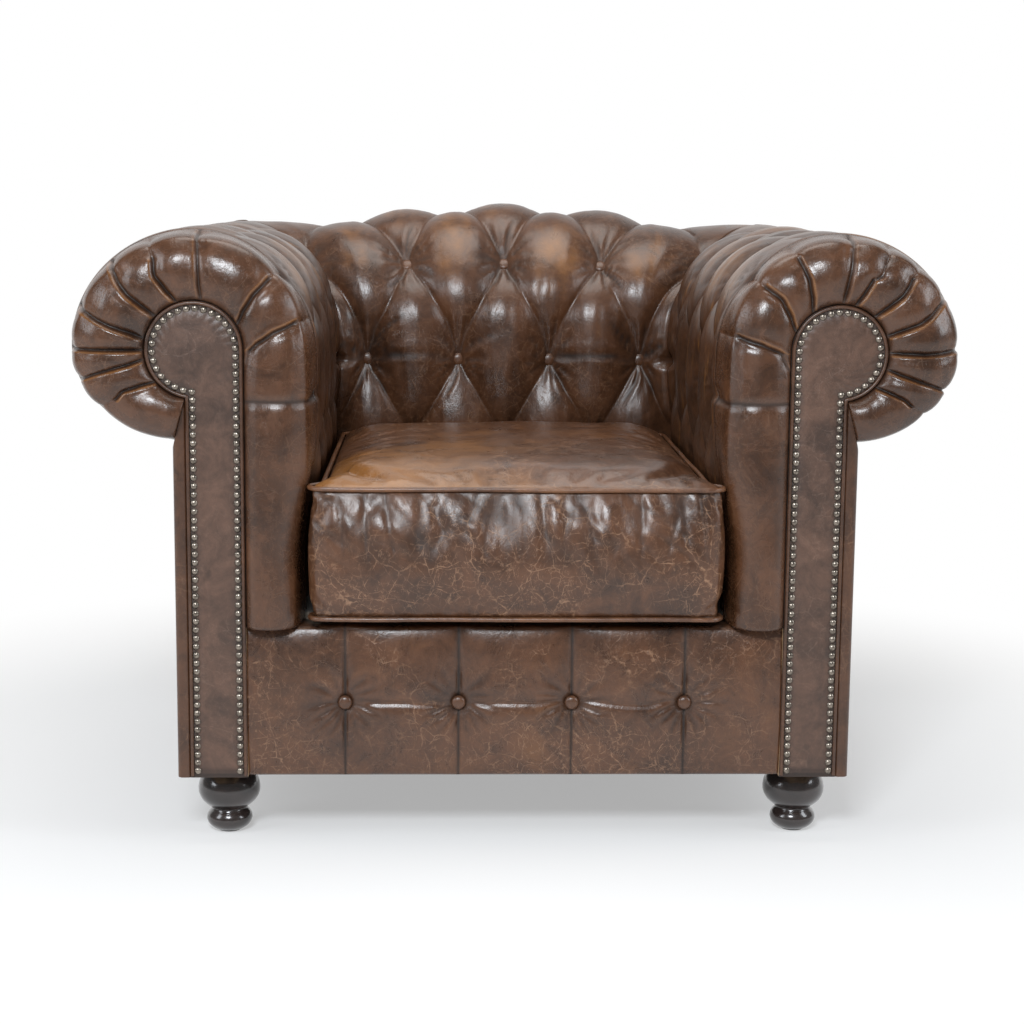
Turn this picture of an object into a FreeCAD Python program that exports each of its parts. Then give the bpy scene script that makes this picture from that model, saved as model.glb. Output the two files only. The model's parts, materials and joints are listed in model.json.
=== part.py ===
import FreeCAD, Part
import Sketcher
import math
import os

# Rolled-arm armchair, buttoned inside, in millimetres. X runs across, Y to the rear, Z up.
# The origin lies on the floor under the middle of the chair. Left and right are the viewer's.
os.makedirs("parts", exist_ok=True)
V = FreeCAD.Vector
doc = FreeCAD.newDocument("RolledArmchair")

SIZES = (
    ("inside_width", 478, "between the crests of the two arms"),
    ("front_reach", 440, "from the origin to the cushion's front face"),
    ("rear_reach", 440, "from the origin to the back of the back roll"),
    ("facing_plane", 420, "from the origin to the arm facings"),
    ("body_bottom", 86, "underside of the body above the floor"),
    ("roll_height", 606, "centre of the rolls above the floor"),
    ("roll_inner", 144, "roll centre to the inside crest"),
    ("roll_top", 143, "roll centre to the top"),
    ("roll_outer", 153, "roll centre to the outermost point"),
    ("roll_under", 116, "roll centre to the underside"),
    ("outside_offset", 27, "roll centre to the outside panels"),
    ("back_rise", 29, "how far the middle of the back stands above the arms"),
    ("tuft_depth", 28, "crest of the pillows down to the buttons"),
    ("pleat_depth", 9, "depth of the pleats on the outside of the rolls"),
    ("lower_row", 430, "height of the lowest button row"),
    ("middle_row", 550, "height of the middle button row"),
    ("upper_row", 681, "height of the upper button row"),
    ("press_depth", 18, "how far the cushion presses the arms back"),
    ("press_top", 480, "height where that pressing ends"),
    ("border_depth", 53, "pleated border, front to rear"),
    ("border_bulge", 17, "how far the border stands in front of the facing"),
    ("pleat_groove", 8, "depth of the border's pleats"),
    ("bulb_radius", 58, "round head of the facing"),
    ("stem_step", 11, "roll centre out to the facing's outer edge below its head"),
    ("facing_thick", 3, "facing panel"),
    ("welt_width", 4, "welt round the facing"),
    ("welt_proud", 2, "welt in front of the facing"),
    ("nail_pitch", 10.3, "nail to nail"),
    ("nail_across", 9.6, "nail head across its corners"),
    ("nail_proud", 3.4, "nail head height"),
    ("nail_inset", 9, "nail line in from the facing's edge"),
    ("button_across", 21, "button across its corners"),
    ("button_thick", 7, "button height"),
    ("front_button_across", 18, "button on the front rail"),
    ("front_button_pitch", 138, "button to button on the front rail"),
    ("front_button_height", 178, "front rail buttons above the floor"),
    ("front_top", 272, "top of the front rail's cover"),
    ("front_bulge", 13, "how far the front cover stands out between pleats"),
    ("skin", 3, "least thickness of the tufted covers"),
    ("pad", 26, "first stuffing"),
    ("hessian", 1.5, "hessian sheet"),
    ("webbing", 2, "webbing strap"),
    ("webbing_width", 50, "webbing strap width"),
    ("former", 8, "bent ply of the rolls"),
    ("leather", 2.5, "flat leather with its lining"),
    ("rail", 28, "frame rail thickness"),
    ("rail_top", 258, "top of the seat rails"),
    ("lining", 2, "dust cover under the frame"),
    ("tack_rail_height", 32, "rail that the inside covers are tacked to"),
    ("top_rail_height", 30, "rail under each roll"),
    ("post", 50, "rear post"),
    ("block", 60, "corner block"),
    ("block_height", 42, "corner block height"),
    ("deck_height", 283, "deck that the cushion lies on"),
    ("deck_cloth", 2, "deck cloth"),
    ("foot_side", 355, "foot centre from the middle"),
    ("foot_front", 70, "front foot centre behind the facing"),
    ("foot_rear", 70, "rear foot centre in front of the outside back"),
    ("foot_bun_radius", 38.5, "widest part of the foot"),
    ("foot_neck_radius", 21.5, "neck of the foot"),
    ("foot_ball_radius", 28.5, "lower ball of the foot"),
    ("foot_toe_radius", 19, "flat end of the foot"),
    ("foot_top_radius", 25, "top of the foot"),
    ("foot_neck_height", 29, "neck above the floor"),
    ("foot_bun_height", 52, "widest part above the floor"),
    ("foot_ball_height", 17, "ball above the floor"),
    ("glide_radius", 14, "glide under the foot"),
    ("glide", 2.5, "glide thickness"),
    ("bolt_radius", 4, "hanger bolt"),
    ("bolt_clearance", 0.1, "round the hanger bolt"),
    ("bolt_depth", 40, "hanger bolt in the foot"),
    ("tee_nut_radius", 12, "tee nut flange"),
    ("tee_nut", 2, "tee nut flange thickness"),
    ("cushion_width", 488, "cushion at its front edge"),
    ("cushion_rear_width", 464, "cushion between the arms"),
    ("cushion_neck", 30, "from the front edge to where it narrows"),
    ("cushion_lift", 0.3, "cushion above the deck"),
    ("cushion_height", 160, "piping to piping"),
    ("cushion_crown", 14, "rise of the cushion's middle"),
    ("cushion_drawn", 5, "how far the boxing draws in"),
    ("cushion_corner", 10, "corner radius of the cushion"),
    ("cushion_gap", 9, "cushion to the back's crest"),
    ("cushion_skin", 4, "cover with its wadding"),
    ("piping_radius", 2.8, "piping"),
    ("zip_length", 380, "zip tape"),
    ("zip_width", 26, "zip tape width"),
    ("zip_tape", 1.2, "zip tape thickness"),
    ("chain_width", 5, "zip chain width"),
    ("chain", 1.6, "zip chain thickness"),
    ("slider_length", 12, "zip slider"),
    ("slider_width", 10, "zip slider width"),
    ("slider_wall", 1.4, "zip slider wall"),
    ("slider_clearance", 0.3, "zip slider round the chain"),
)

sheet = doc.addObject("Spreadsheet::Sheet", "Sizes")
for number, (alias, value, meaning) in enumerate(SIZES, start=1):
    sheet.set("A%d" % number, meaning)
    sheet.set("B%d" % number, str(value))
    sheet.setAlias("B%d" % number, alias)
doc.recompute()


def size(name):
    return float(sheet.get(name))


def cell(text):
    """Turn plain alias names in an expression into references to the sheet."""
    names = sorted((row[0] for row in SIZES), key=len, reverse=True)
    words = []
    for word in text.replace("(", " ( ").replace(")", " ) ").split():
        words.append("Sizes." + word if word in names else word)
    return " ".join(words).replace("sqrt (", "sqrt(")


def value(text):
    return float(FreeCAD.Units.Quantity(str(sheet.evalExpression(cell(text)))).Value)


# Places worked out from the sizes, as expressions on the sheet
HALF_INSIDE = "( inside_width / 2 )"
ROLL_X = "( inside_width / 2 + roll_inner )"
OUTSIDE_X = "( inside_width / 2 + roll_inner + outside_offset )"
PANEL_X = "( inside_width / 2 + roll_inner + outside_offset - leather )"
ROLL_Y = "( rear_reach - roll_outer )"
OUTSIDE_Y = "( rear_reach - roll_outer + outside_offset )"
PANEL_Y = "( rear_reach - roll_outer + outside_offset - leather )"
CREST_Y = "( rear_reach - roll_outer - roll_inner )"
SEAM_Y = "( border_depth - facing_plane )"
LAYERS = "( tuft_depth + skin + pad )"
FRAME_DEPTH = "( tuft_depth + skin + pad + hessian + webbing )"
FRAME_X = "( inside_width / 2 + tuft_depth + skin + pad + hessian + webbing )"
FRAME_Y = "( rear_reach - roll_outer - roll_inner + tuft_depth + skin + pad + hessian + webbing )"
RAIL_BOTTOM = "( body_bottom + lining )"
POST_INNER = "( inside_width / 2 + roll_inner - bulb_radius )"
POST_OUTER = "( inside_width / 2 + roll_inner + stem_step )"
FRONT_FACE = "( facing_plane - front_bulge )"
PAD_FRONT = "( front_bulge + leather - facing_plane )"
RAIL_FRONT = "( border_depth - facing_plane - rail )"
CUSHION_REAR = "( rear_reach - roll_outer - roll_inner - cushion_gap )"

half_inside = value(HALF_INSIDE)
roll_x = value(ROLL_X)
roll_y = value(ROLL_Y)
outside_x = value(OUTSIDE_X)
outside_y = value(OUTSIDE_Y)
crest_y = value(CREST_Y)
seam_y = value(SEAM_Y)
facing_y = -size("facing_plane")
roll_z = size("roll_height")
deck_z = size("deck_height")
tuft = size("tuft_depth")


def label(obj, name):
    obj.Label = name
    return obj


def place(obj, where):
    for axis, text in zip("xyz", where):
        obj.setExpression("Placement.Base." + axis, cell(text))


def slab(name, low, lengths):
    """A board or sheet given by its low corner and its three lengths."""
    box = label(doc.addObject("Part::Box", name), name)
    for prop, text in zip(("Length", "Width", "Height"), lengths):
        box.setExpression(prop, cell(text))
    place(box, low)
    return box


def pair(source, left_name, right_name, normal=V(1, 0, 0)):
    """The piece on the right, and its mirror image on the left."""
    label(source, right_name)
    twin = doc.addObject("Part::Mirroring", left_name)
    twin.Source = source
    twin.Normal = normal
    return label(twin, left_name)


def both(source, name):
    """The piece on the right and its mirror image, together in one node."""
    twin = doc.addObject("Part::Mirroring", name + "_twin")
    twin.Source = source
    twin.Normal = V(1, 0, 0)
    return group(name, [source, twin])


def group(name, pieces):
    bundle = label(doc.addObject("Part::Compound", name), name)
    bundle.Links = pieces
    return bundle


def solid_feature(name, shape):
    piece = label(doc.addObject("Part::Feature", name), name)
    piece.Shape = shape
    piece.Placement = FreeCAD.Placement()
    return piece


def origin_plane(body, role):
    return [item for item in body.Origin.OriginFeatures if item.Role == role][0]


def outline(body, role, corners, edges):
    """A closed sketch through corners, each a pair of expressions; an edge is None for a line,
    or the radius expression and the turning sense of an arc."""
    sketch = body.newObject("Sketcher::SketchObject", body.Name + "_outline")
    sketch.AttachmentSupport = [(origin_plane(body, role), "")]
    sketch.MapMode = "FlatFace"
    points = [V(value(a), value(b), 0) for a, b in corners]
    count = len(points)
    for index, edge in enumerate(edges):
        start, end = points[index], points[(index + 1) % count]
        if edge is None:
            sketch.addGeometry(Part.LineSegment(start, end))
            continue
        radius, sense = value(edge[0]), edge[1]
        chord = end - start
        rise = math.sqrt(max(radius * radius - chord.Length ** 2 / 4, 0))
        side = V(-chord.y, chord.x, 0) * (1 / chord.Length)
        middle = (start + end) * 0.5 + side * rise * sense
        begin = math.atan2(start.y - middle.y, start.x - middle.x)
        finish = math.atan2(end.y - middle.y, end.x - middle.x)
        circle = Part.Circle(middle, V(0, 0, 1), radius)
        if sense < 0:
            begin, finish = finish, begin
        sketch.addGeometry(Part.ArcOfCircle(circle, begin, finish))
    ends = []
    for edge in edges:
        ends.append((2, 1) if edge is not None and edge[1] < 0 else (1, 2))
    for index in range(count):
        after = (index + 1) % count
        sketch.addConstraint(Sketcher.Constraint("Coincident", index, ends[index][1], after, ends[after][0]))
    for index, (a, b) in enumerate(corners):
        for kind, text in (("DistanceX", a), ("DistanceY", b)):
            made = sketch.addConstraint(Sketcher.Constraint(kind, index, ends[index][0], value(text)))
            sketch.setExpression("Constraints[%d]" % made, cell(text))
    for index, edge in enumerate(edges):
        if edge is not None:
            made = sketch.addConstraint(Sketcher.Constraint("Radius", index, value(edge[0])))
            sketch.setExpression("Constraints[%d]" % made, cell(edge[0]))
    return sketch


def padded(body, sketch, length):
    pad = body.newObject("PartDesign::Pad", body.Name + "_pad")
    pad.Profile = sketch
    pad.setExpression("Length", cell(length))
    return pad


# The padded profile: a straight inside face, then the roll in four quarters
def ease(t):
    t = min(max(t, 0.0), 1.0)
    return t * t * (3 - 2 * t)


def profile(station, depth):
    """Offset from the inside crest and height, at a station and a depth under the crest.
    Stations 0 to 1 climb the inside face, 1 to 3 go over the roll and 3 to 4 come under it."""
    inner = size("roll_inner")
    if station <= 1:
        height = deck_z + (roll_z - deck_z) * station
        press = size("press_depth") * ease((size("press_top") - height) / (size("press_top") - 350))
        return depth + press * max(0.0, 1 - depth / tuft), height
    if station <= 2:
        turn = math.pi / 2 * (station - 1)
        reach = inner - depth
        return inner - reach * math.cos(turn), roll_z + (size("roll_top") - depth) * math.sin(turn)
    if station <= 3:
        turn = math.pi / 2 * (station - 2)
        reach = size("roll_outer") - depth
        return inner + reach * math.sin(turn), roll_z + (size("roll_top") - depth) * math.cos(turn)
    reach = size("roll_outer") - depth
    turn = (station - 3) * math.acos(size("outside_offset") / reach)
    return inner + reach * math.cos(turn), roll_z - (size("roll_under") - depth) * math.sin(turn)


UPPER_STATION = 1 + math.asin((size("upper_row") - roll_z) / (size("roll_top") - tuft)) / (math.pi / 2)
ROWS = (
    0.0,
    (size("lower_row") - deck_z) / (roll_z - deck_z),
    (size("middle_row") - deck_z) / (roll_z - deck_z),
    UPPER_STATION,
    UPPER_STATION + (2 - UPPER_STATION) * 4 / 3,
)
STEPS = 4
FAN_STEPS = 4
ARM_COLUMNS = 8
BACK_COLUMNS = 4


def tufted_rows():
    """Pairs of row coordinate and station, four to a button row and then six over the roll."""
    rows = []
    for row in range(4):
        for step in range(STEPS):
            share = step / STEPS
            rows.append((row + share, ROWS[row] + (ROWS[row + 1] - ROWS[row]) * share))
    last = ROWS[4]
    for step in range(4):
        rows.append((4 + step / 6, last + (3 - last) * step / 3))
    for step in range(1, 4):
        rows.append((4.5 + step / 6, 3 + step / 3))
    return rows


def pillow(column, row):
    """How high the leather stands, from 0 at a button to 1 in the middle of a diamond."""
    if row >= 4:
        return abs(math.sin(math.pi * (column - 1) / 2)) ** 0.7
    one = abs(math.sin(math.pi * (column + row - 1) / 2)) ** 0.7
    two = abs(math.sin(math.pi * (column - row - 1) / 2)) ** 0.7
    return one * two + 0.42 * (one + two - 2 * one * two)


def tuft_depth_at(column, row, end_distance):
    """Depth under the crest; end_distance is the columns left to the nearest plain end."""
    height = pillow(column, row)
    if abs(row - 2) < 0.01 and end_distance < 1:
        height *= 0.5 + 0.5 * abs(math.sin(math.pi * end_distance / 2))
    full = tuft
    if row > 4:
        full = tuft + (size("pleat_depth") - tuft) * ease((row - 4) / 0.5)
    return full * (1 - height)


def stretch(station, amount):
    return 1 + amount * ease(station - 1)


def polygon(points):
    loop = [points[0]]
    for point in points[1:]:
        if (point - loop[-1]).Length > 0.001:
            loop.append(point)
    if (loop[0] - loop[-1]).Length < 0.001:
        loop.pop()
    if len(loop) < 3:
        return None
    return Part.Face(Part.makePolygon(loop + [loop[0]]))


def closed_solid(faces):
    """A solid from faces that close, turned so that its volume is positive."""
    shell = Part.Shell([face for face in faces if face is not None])
    shell.sewShape()
    solid = Part.Solid(shell.Shells[0] if shell.ShapeType != "Shell" else shell)
    if solid.Volume < 0:
        solid.reverse()
    return solid


def lattice(grid, rising=None):
    """Two triangles to each square of a grid of points; rising tells which diagonal a square has."""
    faces = []
    for row in range(len(grid) - 1):
        for column in range(len(grid[row]) - 1):
            a, b = grid[row][column], grid[row][column + 1]
            c, d = grid[row + 1][column + 1], grid[row + 1][column]
            if rising is None or rising(row, column):
                faces += [polygon([a, b, c]), polygon([a, c, d])]
            else:
                faces += [polygon([a, b, d]), polygon([b, c, d])]
    return faces


def strips(grid):
    """Flat four-sided faces between the rows of a grid whose squares are flat."""
    faces = []
    for row in range(len(grid) - 1):
        for column in range(len(grid[row]) - 1):
            a, b = grid[row][column], grid[row][column + 1]
            c, d = grid[row + 1][column + 1], grid[row + 1][column]
            faces.append(polygon([a, b, c, d]))
    return faces


PLAIN_STATIONS = (0, 1, 1.25, 1.5, 1.75, 2, 2.25, 2.5, 2.75, 3, 3.33, 3.67, 4)
SEAM_TURN = math.pi / 4


def arm_point(offset, height, along):
    return V(half_inside + offset, along, height)


def arm_fan_point(offset, height, turn):
    reach = offset - size("roll_inner")
    return V(roll_x + reach * math.cos(turn), roll_y + reach * math.sin(turn), height)


def arm_along(column, station, offset):
    """Y of a column of the arm: column 8 is the border's seam and column 0 the mitre."""
    pitch = (crest_y + tuft - seam_y) / ARM_COLUMNS
    first = seam_y + pitch * (ARM_COLUMNS - 1) * stretch(station, 0.1)
    mitre = crest_y + min(offset, size("roll_inner"))
    if column <= 1:
        return mitre + (first - mitre) * column
    return seam_y + (first - seam_y) * (ARM_COLUMNS - column) / (ARM_COLUMNS - 1)


def arm_depth(column, row):
    fade = 1 - 0.6 * ease(column - (ARM_COLUMNS - 1))
    return fade * tuft_depth_at(column, row, ARM_COLUMNS - column if column > 4 else column)


def arm_cover_shape():
    rows = tufted_rows()
    columns = [step / STEPS for step in range(ARM_COLUMNS * STEPS + 1)]
    fan = [step / FAN_STEPS for step in range(FAN_STEPS + 1)]
    main, corner = [], []
    for row, station in rows:
        line = []
        for column in columns:
            offset, height = profile(station, arm_depth(column, row))
            line.append(arm_point(offset, height, arm_along(column, station, offset)))
        main.append(line)
        if station > 1.999:
            line = []
            for share in fan:
                offset, height = profile(station, arm_depth(-2 * share if station > 2.001 else 0, row))
                line.append(arm_fan_point(offset, height, SEAM_TURN * share))
            corner.append(line)

    def rising(row, column):
        if rows[row][0] >= 4:
            return column % 2 == 0
        return (row // STEPS + column // STEPS) % 2 == 1

    faces = lattice(main, rising) + lattice(corner)
    lining = tuft + size("skin")
    inner_main, inner_corner = plain_grids(lining)
    faces += strips(inner_main) + strips(inner_corner)
    outer_end = [line[-1] for line in main]
    inner_end = [line[-1] for line in inner_main]
    faces.append(polygon(outer_end + inner_end[::-1]))
    outer_mitre = [line[0] for line, pair_ in zip(main, rows) if pair_[1] < 1.999]
    outer_mitre += [line[-1] for line in corner]
    inner_mitre = [line[0] for line, s in zip(inner_main, PLAIN_STATIONS) if s < 1.999]
    inner_mitre += [line[-1] for line in inner_corner]
    faces.append(polygon(outer_mitre + inner_mitre[::-1]))
    faces.append(polygon(main[0] + inner_main[0][::-1]))
    faces.append(polygon(main[-1] + inner_main[-1][::-1]))
    faces += strips([corner[-1], inner_corner[-1]])
    return closed_solid(faces)


def plain_grids(depth, stations=PLAIN_STATIONS):
    """The plain profile at a depth: the arm's straight length and its half of the corner fan."""
    main, corner = [], []
    for station in stations:
        offset, height = profile(station, depth)
        mitre = crest_y + min(offset, size("roll_inner"))
        main.append([arm_point(offset, height, mitre), arm_point(offset, height, seam_y)])
        if station > 1.999:
            turns = [SEAM_TURN * step / FAN_STEPS for step in range(FAN_STEPS + 1)]
            corner.append([arm_fan_point(offset, height, turn) for turn in turns])
    return main, corner


def arm_layer_shape(outer, inner, stations=PLAIN_STATIONS):
    """A plain layer of the arm between two depths."""
    outer_main, outer_corner = plain_grids(outer, stations)
    inner_main, inner_corner = plain_grids(inner, stations)
    faces = strips(outer_main) + strips(outer_corner) + strips(inner_main) + strips(inner_corner)
    faces.append(polygon([line[-1] for line in outer_main] + [line[-1] for line in inner_main][::-1]))
    before = len([station for station in stations if station < 1.999])
    outer_mitre = [line[0] for line in outer_main[:before]] + [line[-1] for line in outer_corner]
    inner_mitre = [line[0] for line in inner_main[:before]] + [line[-1] for line in inner_corner]
    faces.append(polygon(outer_mitre + inner_mitre[::-1]))
    faces.append(polygon(outer_main[0] + inner_main[0][::-1]))
    faces.append(polygon(outer_main[-1] + inner_main[-1][::-1]))
    faces += strips([outer_corner[-1], inner_corner[-1]])
    return closed_solid(faces)


def back_across(column, station, offset):
    """X of a column of the back: column 0 is the middle and column 4 the mitre."""
    pitch = (half_inside + tuft) / BACK_COLUMNS
    third = 3 * pitch * stretch(station, 0.16)
    mitre = half_inside + min(offset, size("roll_inner"))
    reach = abs(column)
    if reach <= 3:
        where = third * reach / 3
    else:
        where = third + (mitre - third) * (reach - 3)
    return math.copysign(where, column)


def back_lift(across, station, offset):
    """How far the middle of the back stands above the arms."""
    reach = half_inside + min(offset, size("roll_inner"))
    share = math.cos(math.pi / 2 * min(abs(across) / reach, 1)) ** 2
    weight = ease((station - 1.25) / 0.75) if station <= 2 else 1 - ease((station - 2) / 1.6)
    return size("back_rise") * share * weight


def back_fan_point(offset, height, turn, side):
    reach = offset - size("roll_inner")
    return V(side * (roll_x + reach * math.sin(turn)), roll_y + reach * math.cos(turn), height)


def back_cover_shape():
    rows = tufted_rows()
    count = 2 * BACK_COLUMNS * STEPS
    columns = [step / STEPS - BACK_COLUMNS for step in range(count + 1)]
    fan = [step / FAN_STEPS for step in range(FAN_STEPS + 1)]
    main = []
    corners = {-1: [], 1: []}
    for row, station in rows:
        line = []
        for column in columns:
            depth = tuft_depth_at(column, row, BACK_COLUMNS - abs(column))
            offset, height = profile(station, depth)
            across = back_across(column, station, offset)
            line.append(V(across, crest_y + offset, height + back_lift(across, station, offset)))
        main.append(line)
        if station > 1.999:
            for side in corners:
                line = []
                for share in fan:
                    column = BACK_COLUMNS + (2 * share if station > 2.001 else 0)
                    offset, height = profile(station, tuft_depth_at(column, row, 2))
                    line.append(back_fan_point(offset, height, SEAM_TURN * share, side))
                corners[side].append(line)

    def rising(row, column):
        if rows[row][0] >= 4:
            return column % 2 == 0
        return (row // STEPS + column // STEPS) % 2 == 1

    faces = lattice(main, rising)
    inner_main, inner_corners = back_plain_grids(tuft + size("skin"))
    faces += strips(inner_main)
    for side in corners:
        faces += lattice(corners[side]) + strips(inner_corners[side])
        faces += strips([corners[side][-1], inner_corners[side][-1]])
        edge = 0 if side < 0 else -1
        outer = [line[edge] for line, pair_ in zip(main, rows) if pair_[1] < 1.999]
        outer += [line[-1] for line in corners[side]]
        inner = [line[edge] for line, s in zip(inner_main, PLAIN_STATIONS) if s < 1.999]
        inner += [line[-1] for line in inner_corners[side]]
        faces.append(polygon(outer + inner[::-1]))
    faces.append(polygon(main[0] + inner_main[0][::-1]))
    faces.append(polygon(main[-1] + inner_main[-1][::-1]))
    return closed_solid(faces)


def back_plain_grids(depth, stations=PLAIN_STATIONS):
    main = []
    corners = {-1: [], 1: []}
    for station in stations:
        offset, height = profile(station, depth)
        reach = half_inside + min(offset, size("roll_inner"))
        main.append([V(-reach, crest_y + offset, height), V(reach, crest_y + offset, height)])
        if station > 1.999:
            turns = [SEAM_TURN * step / FAN_STEPS for step in range(FAN_STEPS + 1)]
            for side in corners:
                corners[side].append([back_fan_point(offset, height, turn, side) for turn in turns])
    return main, corners


def back_layer_shape(outer, inner, stations=PLAIN_STATIONS):
    """A plain layer of the back between two depths."""
    outer_main, outer_corners = back_plain_grids(outer, stations)
    inner_main, inner_corners = back_plain_grids(inner, stations)
    faces = strips(outer_main) + strips(inner_main)
    before = len([station for station in stations if station < 1.999])
    for side in (-1, 1):
        edge = 0 if side < 0 else -1
        faces += strips(outer_corners[side]) + strips(inner_corners[side])
        faces += strips([outer_corners[side][-1], inner_corners[side][-1]])
        outer_mitre = [line[edge] for line in outer_main[:before]]
        outer_mitre += [line[-1] for line in outer_corners[side]]
        inner_mitre = [line[edge] for line in inner_main[:before]]
        inner_mitre += [line[-1] for line in inner_corners[side]]
        faces.append(polygon(outer_mitre + inner_mitre[::-1]))
    faces.append(polygon(outer_main[0] + inner_main[0][::-1]))
    faces.append(polygon(outer_main[-1] + inner_main[-1][::-1]))
    return closed_solid(faces)


# The facing's outline, as corners and arcs of a sketch on the XZ plane
def facing_outline(inset, bottom):
    inner = "( inside_width / 2 + roll_inner - bulb_radius + %s )" % inset
    crown = "( inside_width / 2 + roll_inner + bulb_radius - %s )" % inset
    head = "( bulb_radius - %s )" % inset
    drop = "sqrt ( %s * %s - stem_step * stem_step )" % (head, head)
    corners = [
        (inner, bottom),
        (inner, "roll_height"),
        (ROLL_X, "roll_height + bulb_radius - %s" % inset),
        (crown, "roll_height"),
        (POST_OUTER, "roll_height - " + drop),
        (POST_OUTER, bottom),
    ]
    edges = [
        None,
        (head, -1),
        (head, -1),
        (head, -1),
        None,
        None,
    ]
    return corners, edges


def facing_body(name, inset, front, thickness, bottom="body_bottom"):
    body = doc.addObject("PartDesign::Body", name)
    corners, edges = facing_outline(inset, bottom)
    sketch = outline(body, "XZ_Plane", corners, edges)
    pad_feature = padded(body, sketch, thickness)
    pad_feature.Reversed = True
    body.setExpression("Placement.Base.y", cell("0 - ( %s )" % front))
    return body


def facing_points(turn):
    """Where the border starts at a turn round the facing's head, from 0 on its inner side.
    The border has flat facets, so it keeps a little away from the round head."""
    reach = size("bulb_radius") + 0.5
    return V(roll_x - reach * math.cos(turn), 0, roll_z + reach * math.sin(turn))


# Border: shares of the way from the facing to the crest, with the way forward of the seam
BORDER_PATH = (
    (0.0, -0.02), (0.08, 0.55), (0.27, 0.93), (0.47, 1.0), (0.66, 0.76), (0.82, 0.25), (0.94, -0.3), (1.0, -1.0),
)
# Where the pleats run out over the roll: each at its own place, closer together under it
BORDER_PLEATS = (1.13, 1.45, 1.71, 2.02, 2.22, 2.47, 2.73, 2.98, 3.22, 3.44)


def border_stations():
    """Station on the profile, pleat share (0 in a pleat, 1 on a lobe) and turn round the head."""
    stations = []
    bottom = (size("front_top") + 0.5 - deck_z) / (roll_z - deck_z)
    pleat = (size("middle_row") - 5 - deck_z) / (roll_z - deck_z)
    for share in (0, 0.25, 0.5, 0.75, 0.93):
        stations.append((bottom + (pleat - bottom) * share, 1.0))
    stations.append((pleat, 0.0))
    stations.append((pleat + (1 - pleat) * 0.3, 1.0))
    last = pleat + (1 - pleat) * 0.3
    for here in BORDER_PLEATS:
        for share in (1 / 3, 2 / 3):
            stations.append((last + (here - last) * share, 1.0))
        stations.append((here, 0.0))
        last = here
    stations.append((last + (4 - last) / 3, 1.0))
    stations.append((last + (4 - last) * 2 / 3, 1.0))
    stations.append((4.0, 0.6))
    return stations


def row_of_station(station):
    for index in range(4):
        if station <= ROWS[index + 1]:
            return index + (station - ROWS[index]) / (ROWS[index + 1] - ROWS[index])
    if station <= 3:
        return 4 + 0.5 * (station - ROWS[4]) / (3 - ROWS[4])
    return 4.5 + 0.5 * (station - 3)


def border_shape():
    grid, inner = [], []
    bulge = size("border_bulge")
    depth = size("border_depth")
    for station, lobe in border_stations():
        offset, height = profile(station, 0.0)
        seam_offset, seam_height = profile(station, arm_depth(ARM_COLUMNS, max(row_of_station(station), 0)))
        if station <= 1:
            edge = V(roll_x - size("bulb_radius"), 0, height)
        elif station <= 3:
            edge = facing_points(math.pi / 2 * (station - 1))
        else:
            edge = facing_points(math.pi + (station - 3) * math.acos(size("stem_step") / size("bulb_radius")))
        groove = size("pleat_groove") * (1 - lobe)
        line = []
        for share, forward in BORDER_PATH:
            rim = V(half_inside + offset, 0, height)
            if share == 1.0:
                rim = V(half_inside + seam_offset, 0, seam_height)
            middle = edge + (rim - edge) * share
            if forward >= 0:
                along = facing_y - bulge * forward
            else:
                along = facing_y - depth * forward
            along += groove * math.sin(math.pi * min(share * 1.6, 1)) if share < 0.7 else 0
            if 0.7 < share < 1:
                back_off = groove * 0.8 / max((rim - edge).Length, 1)
                middle = edge + (rim - edge) * (share - back_off)
                along += groove * 0.5
            line.append(V(middle.x, along, middle.z))
        line[-1].y = seam_y
        grid.append(line)
        inner.append([line[0], V(line[0].x, seam_y, line[0].z)])
    faces = lattice(grid) + strips(inner)
    faces.append(polygon([line[-1] for line in grid] + [line[-1] for line in inner][::-1]))
    faces.append(polygon(grid[0] + [inner[0][-1]]))
    faces.append(polygon(grid[-1] + [inner[-1][-1]]))
    return closed_solid(faces)


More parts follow.
